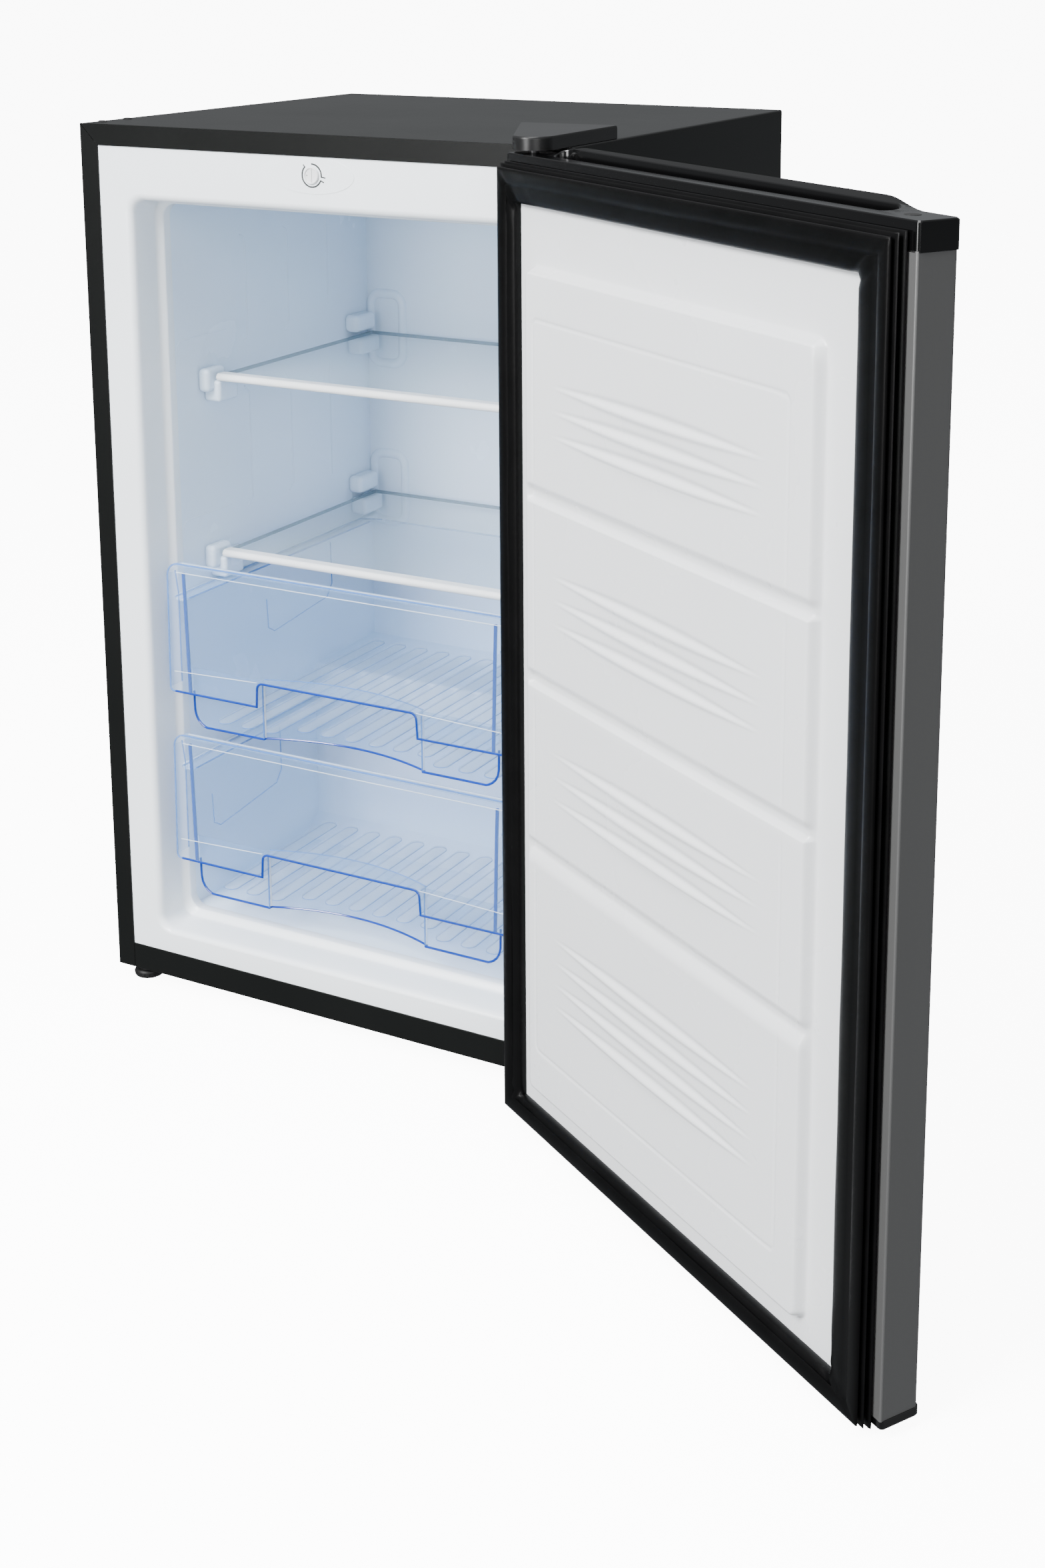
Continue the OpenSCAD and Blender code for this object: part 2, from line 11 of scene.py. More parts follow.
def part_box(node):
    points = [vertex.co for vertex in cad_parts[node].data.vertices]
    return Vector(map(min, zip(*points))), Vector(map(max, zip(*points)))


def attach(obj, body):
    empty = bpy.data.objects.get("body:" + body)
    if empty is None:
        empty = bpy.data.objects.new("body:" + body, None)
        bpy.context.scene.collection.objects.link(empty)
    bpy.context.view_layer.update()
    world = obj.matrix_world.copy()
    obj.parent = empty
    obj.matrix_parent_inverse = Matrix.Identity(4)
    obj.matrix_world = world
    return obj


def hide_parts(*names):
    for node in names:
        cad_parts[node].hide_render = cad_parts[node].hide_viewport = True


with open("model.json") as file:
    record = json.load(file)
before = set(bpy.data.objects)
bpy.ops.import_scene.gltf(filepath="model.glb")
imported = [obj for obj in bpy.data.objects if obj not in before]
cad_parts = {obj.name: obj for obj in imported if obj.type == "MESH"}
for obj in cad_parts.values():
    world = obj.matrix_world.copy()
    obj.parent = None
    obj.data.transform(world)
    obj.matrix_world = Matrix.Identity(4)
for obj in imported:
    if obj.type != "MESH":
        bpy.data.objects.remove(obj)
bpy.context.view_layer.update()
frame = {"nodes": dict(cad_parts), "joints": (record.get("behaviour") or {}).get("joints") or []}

# ---- camera ----

CAMERA_PLACE = (1.052, -1.7285, 0.990)
CAMERA_DOWN = 11.83  # degrees below the horizon
CAMERA_YAW = 27.58  # degrees, turned left of +Y
CAMERA_LENS = 49.45
CAMERA_SHIFT = (-0.0403, -0.25)


def make_camera():
    data = bpy.data.cameras.new("camera")
    data.lens = CAMERA_LENS
    data.shift_x, data.shift_y = CAMERA_SHIFT
    camera = bpy.data.objects.new("camera", data)
    camera.location = CAMERA_PLACE
    camera.rotation_euler = (radians(90 - CAMERA_DOWN), 0, radians(CAMERA_YAW))
    bpy.context.scene.collection.objects.link(camera)
    bpy.context.scene.camera = camera


make_camera()

# ---- places, in millimetres of the row frame ----

MM = 0.001


def mm_box(node):
    low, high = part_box(node)
    return low / MM, high / MM


(LEFT, FRONT, BASE), (RIGHT, BACK, TOP) = mm_box("outer_shell")
SHEET = 1.0
BEZEL = 19.0
RAIL_TOP = mm_box("front_rail")[1].z
DIAL = sum(mm_box("knob"), Vector()) / 2
SHELF_TRIMS = [mm_box("shelf_upper_trim"), mm_box("shelf_lower_trim")]

HINGE_JOINT = next(j for j in frame["joints"] if j["name"] == "door_hinge")
HINGE = Vector(HINGE_JOINT["pos_m"]) / MM
DOOR_ANGLE = radians(-HINGE_JOINT["range_deg"][0])
SWING = (
    Matrix.Translation(HINGE) @ Matrix.Rotation(DOOR_ANGLE, 4, "Z") @ Matrix.Translation(-HINGE)
)

# ---- materials ----


RAMP_ENDS = (0.3, 0.7)  # noise values that get a surface's darkest and lightest colour
GRAIN_DEPTH = 0.0005  # metres of relief at full strength
LEAST_ROUGH = 0.02


def noise_node(nodes, links, vector, scale, detail):
    texture = nodes.new("ShaderNodeTexNoise")
    texture.inputs["Scale"].default_value = scale
    texture.inputs["Detail"].default_value = detail
    links.new(vector, texture.inputs["Vector"])
    return texture.outputs["Fac"]


def colour_node(nodes, links, source, low, high):
    """A ramp from one colour to another, driven by a 0 to 1 value."""
    ramp = nodes.new("ShaderNodeValToRGB")
    ramp.color_ramp.elements[0].position = RAMP_ENDS[0]
    ramp.color_ramp.elements[0].color = (*low, 1)
    ramp.color_ramp.elements[1].position = RAMP_ENDS[1]
    ramp.color_ramp.elements[1].color = (*high, 1)
    links.new(source, ramp.inputs[0])
    return ramp.outputs[0]


def surface(name, colour, rough, vary=0.06, grain=900.0, bump=0.02, stretch=(1, 1, 1), metal=0.0,
            alpha=1.0, rough_vary=0.04, specular=0.5, smudge=9.0):
    """A surface whose colour drifts a little, with a fine grain in its relief and an uneven gloss."""
    material = bpy.data.materials.new(name)
    material.use_nodes = True
    nodes, links = material.node_tree.nodes, material.node_tree.links
    shader = nodes["Principled BSDF"]
    shader.inputs["Metallic"].default_value = metal
    shader.inputs["Alpha"].default_value = alpha
    shader.inputs["Specular IOR Level"].default_value = specular
    place = nodes.new("ShaderNodeTexCoord")
    turn = nodes.new("ShaderNodeMapping")
    turn.inputs["Scale"].default_value = stretch
    links.new(place.outputs["Object"], turn.inputs["Vector"])
    drift = noise_node(nodes, links, turn.outputs[0], smudge, 4)
    fine = noise_node(nodes, links, turn.outputs[0], grain, 2)
    low = [max(0.0, c * (1 - vary)) for c in colour]
    high = [min(1.0, c * (1 + vary)) for c in colour]
    links.new(colour_node(nodes, links, drift, low, high), shader.inputs["Base Color"])
    gloss = nodes.new("ShaderNodeMapRange")
    gloss.inputs["To Min"].default_value = max(LEAST_ROUGH, rough - rough_vary)
    gloss.inputs["To Max"].default_value = min(1.0, rough + rough_vary)
    links.new(drift, gloss.inputs["Value"])
    links.new(gloss.outputs["Result"], shader.inputs["Roughness"])
    relief = nodes.new("ShaderNodeBump")
    relief.inputs["Strength"].default_value = bump
    relief.inputs["Distance"].default_value = GRAIN_DEPTH
    links.new(fine, relief.inputs["Height"])
    links.new(relief.outputs["Normal"], shader.inputs["Normal"])
    if alpha < 1:
        material.surface_render_method = "BLENDED"
    return material


SATIN_BLACK = surface("satin_black_steel", (0.0036, 0.004, 0.0038), 0.36, grain=2600, bump=0.05,
                      specular=0.17)
REAR_BLACK = surface("rear_black_steel", (0.02, 0.02, 0.02), 0.55, grain=1800, bump=0.08)
ZINC = surface("zinc_steel", (0.5, 0.52, 0.53), 0.38, vary=0.18, metal=0.9, smudge=40, bump=0.03)
LINER = surface("liner_white", (0.86, 0.905, 0.94), 0.24, vary=0.010, grain=700, bump=0.015)
# a darker, bluer copy of the liner white for the walls deep inside the cabinet: painted shade
LINER_SHADED = surface("liner_white_painted_shade", (0.73, 0.845, 0.97), 0.26, vary=0.012, grain=700, bump=0.015)
DOOR_LINER = surface("door_liner_white", (0.69, 0.705, 0.72), 0.27, vary=0.010, grain=700, bump=0.02)
DIAL_WHITE = surface("dial_white", (0.74, 0.75, 0.76), 0.3, vary=0.015)
PRINT_GREY = surface("print_grey", (0.018, 0.02, 0.022), 0.5, vary=0.02)
GLOSS_BLACK = surface("gloss_black_plastic", (0.0018, 0.0018, 0.0019), 0.15, grain=1500, bump=0.015,
                      specular=0.4)
MATTE_BLACK = surface("matte_black_plastic", (0.006, 0.006, 0.006), 0.5, grain=1700, bump=0.12,
                      specular=0.3)
RUBBER = surface("gasket_rubber", (0.0014, 0.0014, 0.0015), 0.38, vary=0.15, grain=380, bump=0.05,
                 smudge=30, rough_vary=0.08, specular=0.1)
DOOR_STEEL = surface("door_side_steel", (0.12, 0.12, 0.119), 0.4, vary=0.05, grain=700, bump=0.05,
                     stretch=(1, 1, 0.05), metal=0.55)
GLOSS_COVER = surface("cover_plastic", (0.006, 0.006, 0.0062), 0.33, grain=1900, bump=0.08, specular=0.3)
FOAM = surface("foam", (0.75, 0.66, 0.38), 0.9, vary=0.1, grain=500, bump=0.5, smudge=60)
COPPER = surface("copper", (0.72, 0.32, 0.17), 0.3, vary=0.12, metal=1.0, smudge=70)
STEEL = surface("plated_steel", (0.55, 0.56, 0.57), 0.25, vary=0.08, metal=1.0, smudge=80)
HINGE_STEEL = surface("hinge_steel", (0.035, 0.035, 0.037), 0.4, vary=0.1, metal=0.6, smudge=60)
ALUMINIUM = surface("aluminium", (0.6, 0.61, 0.62), 0.35, metal=1.0, smudge=60)
NYLON = surface("nylon", (0.6, 0.59, 0.54), 0.45)
WIRE_BLACK = surface("condenser_paint", (0.012, 0.012, 0.012), 0.35, grain=900, bump=0.08)
TRIM_WHITE = surface("trim_white", (0.80, 0.82, 0.83), 0.18, vary=0.01)
GLASS = surface("shelf_glass", (0.62, 0.76, 0.84), 0.04, vary=0.02, alpha=0.16, bump=0.0)
GLASS_EDGE = surface("shelf_glass_edge", (0.09, 0.14, 0.17), 0.1, vary=0.1, alpha=0.75, bump=0.0)
CLEAR = surface("drawer_clear", (0.24, 0.46, 0.86), 0.07, vary=0.03, alpha=0.19, bump=0.01)
CLEAR_THICK = surface("drawer_rib", (0.40, 0.60, 0.92), 0.07, vary=0.03, alpha=0.24, bump=0.01)
CLEAR_EDGE = surface("drawer_edge", (0.004, 0.035, 0.30), 0.12, vary=0.12, alpha=0.9, smudge=14)
CLEAR_LINE = surface("drawer_line", (0.08, 0.23, 0.62), 0.12, vary=0.12, alpha=0.55, smudge=14)
# the slats' own clear plastic made paler and whiter than the tub: painted highlight on the raised slats
CLEAR_SLAT_HIGHLIGHT = surface("drawer_slat_highlight", (0.70, 0.83, 0.96), 0.08, vary=0.03, alpha=0.24, bump=0.01)
# pale lines laid along the drawers' edges: painted highlights
CLEAR_PAINTED_HIGHLIGHT = surface("drawer_painted_highlight", (0.86, 0.92, 0.97), 0.12, vary=0.04, alpha=0.6)

# ---- mesh building ----

PLANES = {
    "xy": lambda p, q, t: (p, q, t),
    "xz": lambda p, q, t: (p, t, q),
    "yz": lambda p, q, t: (t, p, q),
}


def arc(cx, cy, r, start, end, steps=8):
    """Points on a circle from one angle to another, in degrees."""
    angles = [radians(start + (end - start) * i / steps) for i in range(steps + 1)]
    return [(cx + r * cos(a), cy + r * sin(a)) for a in angles]


def rounded_box(x0, y0, x1, y1, r, steps=6):
    """Outline of a rectangle with round corners, anticlockwise from the low right corner."""
    return (
        arc(x1 - r, y0 + r, r, -90, 0, steps)
        + arc(x1 - r, y1 - r, r, 0, 90, steps)
        + arc(x0 + r, y1 - r, r, 90, 180, steps)
        + arc(x0 + r, y0 + r, r, 180, 270, steps)
    )


def smooth_step(t):
    """0 below 0, 1 above 1 and a soft rise between them."""
    t = min(1.0, max(0.0, t))
    return t * t * (3 - 2 * t)


def skin(part, rows, closed=True):
    """Faces from each row of points to the next. A closed skin joins each row's last point to its first."""
    count = len(rows[0])
    for a, b in zip(rows, rows[1:]):
        for i in range(count if closed else count - 1):
            j = (i + 1) % count
            part.faces.new((a[i], a[j], b[j], b[i]))


def extruded(outline, plane, start, end):
    """A body whose outline lies in a plane and runs from start to end across it."""
    part = bmesh.new()
    ends = [[part.verts.new(PLANES[plane](p, q, t)) for p, q in outline] for t in (start, end)]
    part.faces.new(ends[0])
    part.faces.new(reversed(ends[1]))
    count = len(outline)
    for i in range(count):
        j = (i + 1) % count
        part.faces.new((ends[0][j], ends[0][i], ends[1][i], ends[1][j]))
    return part


FOLD = radians(24)  # a bevel takes the edges that fold more than this


class Piece:
    """One piece of the object, gathered from closed parts and sheets, in millimetres."""

    def __init__(self):
        self.bm = bmesh.new()
        self.materials = []

    def take(self, part, material, bevel=0.0, segments=3, keep=None):
        """Adds a part, with its edges bevelled except those that keep picks out."""
        if bevel:
            edges = [e for e in part.edges if e.is_manifold and e.calc_face_angle(0) > FOLD]
            edges = [e for e in edges if keep is None or not keep(e)]
            bmesh.ops.bevel(part, geom=edges, offset=bevel, segments=segments, profile=0.5,
                            affect="EDGES", clamp_overlap=True)
        bmesh.ops.recalc_face_normals(part, faces=part.faces)
        if material not in self.materials:
            self.materials.append(material)
        for face in part.faces:
            face.material_index = self.materials.index(material)
        mesh = bpy.data.meshes.new("part")
        part.to_mesh(mesh)
        part.free()
        self.bm.from_mesh(mesh)
        bpy.data.meshes.remove(mesh)

    def block(self, low, high, material, bevel=0.6, segments=3):
        part = bmesh.new()
        bmesh.ops.create_cube(part, size=1)
        for v in part.verts:
            v.co = [low[i] + (v.co[i] + 0.5) * (high[i] - low[i]) for i in range(3)]
        self.take(part, material, bevel, segments)

    def prism(self, outline, plane, start, end, material, bevel=0.6, segments=3):
        self.take(extruded(outline, plane, start, end), material, bevel, segments)

    def loft(self, rings, material, caps=(True, True), closed=True):
        """A skin through rings of points, with or without a face on the first and the last ring."""
        part = bmesh.new()
        rows = [[part.verts.new(p) for p in ring] for ring in rings]
        skin(part, rows, closed)
        if caps[0]:
            part.faces.new(rows[0])
        if caps[1]:
            part.faces.new(rows[-1])
        self.take(part, material)

    def ring_sweep(self, rings, material):
        """A closed skin through rings that come back to the first one."""
        part = bmesh.new()
        rows = [[part.verts.new(p) for p in ring] for ring in rings]
        skin(part, rows + rows[:1])
        self.take(part, material)

    def sheet(self, points, material):
        part = bmesh.new()
        part.faces.new([part.verts.new(p) for p in points])
        self.take(part, material)

    def turned(self, profile, centre, axis, material, steps=40):
        """A lathe body. The profile's points are (radius, height along the axis), from end to end."""
        rings = []
        for r, h in profile:
            ring = []
            for k in range(steps):
                a = 2 * pi * k / steps
                p, q = r * cos(a), r * sin(a)
                offset = {"z": (p, q, h), "y": (p, h, q), "x": (h, p, q)}[axis]
                ring.append(Vector(centre) + Vector(offset))
            rings.append(ring)
        self.loft(rings, material)

    def tube(self, points, r, material, sides=8, loop=False):
        """A round bar along points, with mitred bends."""
        path = [Vector(p) for p in points]
        count = len(path)
        rings, up = [], None
        for i, p in enumerate(path):
            before = path[i - 1] if i or loop else p
            after = path[(i + 1) % count] if i < count - 1 or loop else p
            way_in, way_out = (p - before).normalized(), (after - p).normalized()
            way = (way_in + way_out).normalized()
            if up is None:
                up = way.orthogonal().normalized()
            up = (up - way * up.dot(way)).normalized()
            side = way.cross(up)
            half_turn = max(0.5, way.dot(way_out if way_out.length else way_in))
            widen = way_out - way_in
            ring = []
            for k in range(sides):
                a = 2 * pi * k / sides
                offset = (up * cos(a) + side * sin(a)) * r
                if widen.length > 1e-6:
                    w = widen.normalized()
                    offset += w * offset.dot(w) * (1 / half_turn - 1)
                ring.append(p + offset)
            rings.append(ring)
        if loop:
            self.ring_sweep(rings, material)
        else:
            self.loft(rings, material)

    def place(self, name, body, slot, *replaced, swung=False, sharp=32, solid=0.0):
        """Makes the object. Edges above the angle sharp stay sharp; solid is a sheet's thickness."""
        mesh = bpy.data.meshes.new(name)
        self.bm.to_mesh(mesh)
        self.bm.free()
        for material in self.materials:
            mesh.materials.append(material)
        if swung:
            mesh.transform(SWING)
        mesh.transform(Matrix.Scale(MM, 4))
        mesh.polygons.foreach_set("use_smooth", [True] * len(mesh.polygons))
        mesh.set_sharp_from_angle(angle=radians(sharp))
        piece = bpy.data.objects.new(name, mesh)
        bpy.context.scene.collection.objects.link(piece)
        if solid:
            thicken = piece.modifiers.new("thickness", "SOLIDIFY")
            thicken.thickness = solid * MM
            thicken.offset = -1
        weighted = piece.modifiers.new("normals", "WEIGHTED_NORMAL")
        weighted.keep_sharp = True
        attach(piece, body)
        if replaced:
            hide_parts(*replaced)
        return piece


def paint(material, *names):
    """Gives CAD nodes that stay as they are a material."""
    for name in names:
        mesh = frame["nodes"][name].data
        mesh.materials.clear()
        mesh.materials.append(material)


# ---- cabinet shell ----


def cabinet_shell():
    p = Piece()
    bend = 2.0
    outer = (
        [(LEFT, BASE)]
        + arc(LEFT + bend, TOP - bend, bend, 180, 90, 4)
        + arc(RIGHT - bend, TOP - bend, bend, 90, 0, 4)
        + [(RIGHT, BASE)]
    )
    t = SHEET
    inner = [(RIGHT - t, BASE), (RIGHT - t, TOP - t), (LEFT + t, TOP - t), (LEFT + t, BASE)]
    p.prism(outer + inner, "xz", FRONT + 0.8, BACK, SATIN_BLACK, bevel=0.25, segments=2)
    # the front flange: three strips that meet in mitres
    seam, inner_x = 0.3, LEFT + BEZEL
    side = [(LEFT, BASE), (inner_x, BASE), (inner_x, TOP - BEZEL - seam), (LEFT, TOP - seam)]
    top = [(LEFT + seam, TOP), (inner_x + seam, TOP - BEZEL), (RIGHT - BEZEL - seam, TOP - BEZEL),
           (RIGHT - seam, TOP)]
    for outline in (side, top, [(-x, z) for x, z in side]):
        p.prism(outline, "xz", FRONT, FRONT + 1.6, SATIN_BLACK, bevel=0.7, segments=3)
    # a thin edge on the left strip, beside the liner
    p.block((inner_x - 1, FRONT + 0.6, BASE), (inner_x, FRONT + 1.3, TOP - BEZEL), SATIN_BLACK, 0.2)
    # the back edges, folded inwards
    fold = 12
    for x0, x1 in ((LEFT + 0.6, LEFT + fold), (RIGHT - fold, RIGHT - 0.6)):
        p.block((x0, BACK - fold, BASE), (x1, BACK - fold + 1, TOP - 1), SATIN_BLACK, 0.3)
    p.place("cabinet_shell", "cabinet", "cabinet_steel", "outer_shell")


def kick_rail():
    p = Piece()
    half = RIGHT - BEZEL - 0.25
    p.block((-half, FRONT, BASE), (half, FRONT + 1.2, RAIL_TOP), SATIN_BLACK, 0.45)
    p.block((-half + 8, FRONT + 0.8, BASE + 1.2), (half - 8, FRONT + 12, BASE + 2.2), SATIN_BLACK, 0.3)
    p.place("kick_rail", "cabinet", "cabinet_steel", "front_rail")


def hole_plugs():
    p = Piece()
    low, high = mm_box("hinge_hole_plugs")
    x = (low.x + high.x) / 2
    head = (high.x - low.x) / 2
    for y in (low.y + head, high.y - head):
        profile = [(0.2, TOP + 1.5), (2.4, TOP + 1.35), (head - 0.9, TOP + 0.9), (head, TOP + 0.1),
                   (head - 0.3, TOP + 0.02), (3.2, TOP), (3.1, TOP - 5)]
        p.turned(profile, (x, y, 0), "z", MATTE_BLACK, 32)
    p.place("hole_plugs", "cabinet", "black_plastic", "hinge_hole_plugs")


# ---- liner ----

WALL_X = 190.0
CEILING = TOP - 73
FLOOR = BASE + 56
HUMP_FRONT = FRONT + 256
HUMP_TOP = BASE + 238
LINER_BACK = FRONT + 370
LINER_FACE = FRONT + SHEET


MOUTH = (204, BASE + 43, TOP - 60)  # half width, low and high edge of the opening in the liner's face
MOUTH_CORNER = 17
MOUTH_ROUND = 7.0


def liner_rings():
    """Rings of the mouth from the flange's rim to where the straight walls start."""
    flange_x = RIGHT - BEZEL + 5
    half, z0, z1 = MOUTH
    # half width, low edge, high edge, corner radius and depth behind the liner's face
    rings = [(flange_x, RAIL_TOP - 5, TOP - BEZEL + 6, 3, 0), (*MOUTH, MOUTH_CORNER, 0)]
    for k in range(1, 6):
        a = radians(90 * k / 5)
        inset = MOUTH_ROUND * sin(a)
        rings.append((half - inset, z0 + 0.7 * inset, z1 - inset, MOUTH_CORNER - 0.5 * inset,
                      MOUTH_ROUND * (1 - cos(a))))
    rings.append((196.4, BASE + 48.6, TOP - 68, 13.5, 14))
    rings.append((195.8, BASE + 49.2, TOP - 68.6, 13, 27))
    for k in range(7):
        t = k / 6
        step = smooth_step(t)
        rings.append((195.8 - 5.8 * step, BASE + 49.5 + 6.5 * step, TOP - 68.8 - 4.2 * step, 13, 31 + 7 * t))
    rings.append((WALL_X, FLOOR, CEILING, 13, 46))
    return [
        [(x, LINER_FACE + y, z) for x, z in rounded_box(-half, z0, half, z1, corner, 8)]
        for half, z0, z1, corner, y in rings
    ]


def liner():
    p = Piece()
    p.loft(liner_rings(), LINER, caps=(False, False))
    # the straight walls, with the hump over the compressor
    start, half, chamfer = FRONT + 44, WALL_X + 0.15, 27
    side_view = [
        (start, FLOOR), (HUMP_FRONT - chamfer, FLOOR - 1), (HUMP_FRONT, FLOOR + 18), (HUMP_FRONT, HUMP_TOP),
        (LINER_BACK, HUMP_TOP), (LINER_BACK, CEILING), (start, CEILING),
    ]
    part = extruded(side_view, "yz", -half, half)
    mouth = [f for f in part.faces if all(abs(v.co.y - start) < 0.01 for v in f.verts)]
    bmesh.ops.delete(part, geom=mouth, context="FACES_ONLY")

    def on_hump_edge(edge):
        return all(abs(v.co.y - HUMP_FRONT) < 5 and abs(v.co.z - HUMP_TOP) < 5 for v in edge.verts)

    hump_edge = [e for e in part.edges if on_hump_edge(e)]
    bmesh.ops.bevel(part, geom=hump_edge, offset=3, segments=3, profile=0.5, affect="EDGES")
    # the straight walls take the liner white's darker, bluer copy: painted shade
    p.take(part, LINER_SHADED, bevel=12, segments=6, keep=on_hump_edge)
    # every face looks into the cabinet
    bmesh.ops.recalc_face_normals(p.bm, faces=p.bm.faces)
    for face in p.bm.faces:
        centre = face.calc_center_median()
        inside = Vector((0, centre.y - 60, (CEILING + FLOOR) / 2))
        if (inside - centre).dot(face.normal) < 0:
            face.normal_flip()
    p.place("liner_tub", "cabinet", "liner_white", "inner_liner", solid=1.6, sharp=50)


def wall_line(p, side, points, r=1.1):
    """A fine embossed line on a side wall, through (depth behind the front plane, height) points."""
    x = side * (WALL_X + 0.55)
    p.tube([(x, FRONT + y, BASE + z) for y, z in points], r, LINER_SHADED, sides=8)


def shelf_supports(p, side, trim):
    """The block that hugs a shelf's front corner and the clip at its back corner."""
    z = trim[1].z
    wall = side * (WALL_X + 1)

    def box(x_in, y0, z0, y1, z1, bevel):
        a, b = sorted((side * x_in, wall))
        p.block((a, FRONT + y0, z0), (b, FRONT + y1, z1), LINER_SHADED, bevel, 5)

    box(178.4, 79, z - 20, 108, z + 2.5, 4.5)
    box(172, 88, z - 30, 118, z - 9, 3.5)
    box(182, 104, z - 17, 132, z - 8.4, 2)
    box(174, 326, z - 2, 362, z + 16, 5)
    box(172, 330, z - 26, 366, z - 8.4, 4)


def wall_lines(p, side):
    """Upright lines, two of them with curled ends, and two level ones that bend down at the front."""
    for y, curl in ((159, 8), (228, 8), (297, 0)):
        if curl:
            bend = y - curl * 0.3
            points = [(y - curl, 700), (bend, 697), (y, 690), (y, 606), (bend, 599), (y - curl, 596)]
        else:
            points = [(y, 738), (y, 612)]
        wall_line(p, side, points)
        wall_line(p, side, [(y - curl, 552), (y, 544), (y, 440), (y - curl, 432)])
    r = 9
    for z in (612, 440):
        angles = [radians(a) for a in (0, 30, 60, 90)]
        bend = [(49 + r * (1 - cos(a)), z - r + r * sin(a)) for a in angles]
        wall_line(p, side, [(47, z - 30), *bend, (125, z)], 0.9)


def drawer_runner(p, side, node, back):
    """The ledge on a side wall that a drawer's rim slides on."""
    rim = mm_box(node)[0].z + 124
    x0, x1 = sorted((side * 181, side * (WALL_X + 1)))
    p.block((x0, FRONT + 34, rim - 7.5), (x1, back + 1, rim - 0.5), LINER_SHADED, 2.2, 4)


def liner_details():
    p = Piece()
    # the lines, supports, loops and runners take the liner white's darker, bluer copy: painted shade
    for side in (-1, 1):
        wall_lines(p, side)
        for trim in SHELF_TRIMS:
            shelf_supports(p, side, trim)
            # the raised loop round the clip, on the back wall
            z = trim[1].z
            x0, x1 = sorted((side * 186, side * 147))
            loop = rounded_box(x0, z - 40, x1, z + 34, 12, 5)
            p.tube([(x, LINER_BACK + 2.2, q) for x, q in loop], 5.6, LINER_SHADED, sides=14, loop=True)
        drawer_runner(p, side, "drawer_upper", LINER_BACK)
        drawer_runner(p, side, "drawer_lower", HUMP_FRONT)
    p.place("liner_supports", "cabinet", "liner_white")


def thermostat_plate():
    p = Piece()
    half_long, half_high, well_r, steps = 43.0, 16.0, 7.9, 96
    face = LINER_FACE - 0.35
    rim, top, inner, well = [], [], [], []
    for k in range(steps):
        a = 2 * pi * k / steps
        x, z = half_long * cos(a), half_high * sin(a)
        rim.append((DIAL.x + x, LINER_FACE + 0.4, DIAL.z + z))
        top.append((DIAL.x + x * 0.993, face, DIAL.z + z * 0.985))
        x, z = DIAL.x + well_r * cos(a), DIAL.z + well_r * sin(a)
        inner.append((x, face, z))
        well.append((x, LINER_FACE + 3, z))
    p.loft([rim, top, inner, well], LINER, caps=(False, False))

    def printed(outline):
        p.prism(outline, "xz", face - 0.12, face + 0.1, PRINT_GREY, bevel=0)

    # the printed scale: two arcs and their end marks, with no words
    for start, end in ((-6, 92), (134, 336)):
        printed(arc(DIAL.x, DIAL.z, 9.2, start, end, 28) + arc(DIAL.x, DIAL.z, 10.5, end, start, 28))
    for angle, reach in ((-6, 14), (134, 12.5), (336, 13.5)):
        c, s = cos(radians(angle)), sin(radians(angle))
        corners = ((9.5, -0.5), (reach, -0.5), (reach, 0.5), (9.5, 0.5))
        printed([(DIAL.x + r * c - w * s, DIAL.z + r * s + w * c) for r, w in corners])
    p.place("thermostat_plate", "cabinet", "dial_white", "thermostat_panel")


def dial():
    p = Piece()
    low, high = mm_box("knob")
    r, out, deep = (high.x - low.x) / 2, low.y, high.y
    centre = (DIAL.x, 0, DIAL.z)
    profile = [(0.1, out + 0.9), (r - 1.6, out + 0.9), (r - 1.2, out + 0.15), (r - 0.7, out),
               (r - 0.15, out + 0.5), (r, out + 1.2), (r, deep), (0.1, deep)]
    p.turned(profile, centre, "y", DIAL_WHITE, 64)
    p.block((DIAL.x - 0.7, out + 0.1, DIAL.z - r + 1.3), (DIAL.x + 0.7, out + 1.4, DIAL.z + r - 1.3),
            DIAL_WHITE, 0.3)
    p.turned([(0.05, out + 0.95), (0.6, out + 0.8), (0.6, out + 1.2), (0.05, out + 1.2)],
             (DIAL.x - 4.4, 0, DIAL.z), "y", PRINT_GREY, 16)
    p.place("dial", "knob", "dial_white", "knob")


# ---- hinge cover ----


def hinge_cover():
    p = Piece()
    low, high = mm_box("top_hinge_cover")
    corners = [((HINGE.x, HINGE.y), 17.0), ((high.x - 3, high.y - 5), 3.0), ((low.x + 3, high.y - 14), 3.0)]
    outline = [Vector(point) for point in rounded_corners(corners)]
    centre = Vector((HINGE.x - 10, HINGE.y + 65))
    rings = []
    for inset, z in ((0, TOP + 0.2), (0, TOP + 8.8), (0.4, TOP + 10.2), (1.3, TOP + 11.0)):
        rings.append([(*(q - (q - centre).normalized() * inset), z) for q in outline])
    p.loft(rings, GLOSS_COVER)
    p.place("hinge_cover", "cabinet", "black_plastic", "top_hinge_cover")


def rounded_corners(corners):
    """Outline round circles at the corners of a triangle, by the lines that touch them outside."""
    points = []
    count = len(corners)
    for i, (centre, r) in enumerate(corners):
        before, after = corners[i - 1], corners[(i + 1) % count]
        normals = []
        for (c0, r0), (c1, r1) in ((before, (centre, r)), ((centre, r), after)):
            way = Vector(c1) - Vector(c0)
            span = way.length
            way.normalize()
            lean = (r0 - r1) / span
            side = Vector((way.y, -way.x))
            normals.append(side * sqrt(1 - lean * lean) + way * lean)
        start, turn = normals[0], normals[0].angle_signed(normals[1])
        for k in range(9):
            direction = start.copy()
            direction.rotate(Matrix.Rotation(-turn * k / 8, 2))
            points.append((centre[0] + direction.x * r, centre[1] + direction.y * r))
    return points


# ---- shelves ----


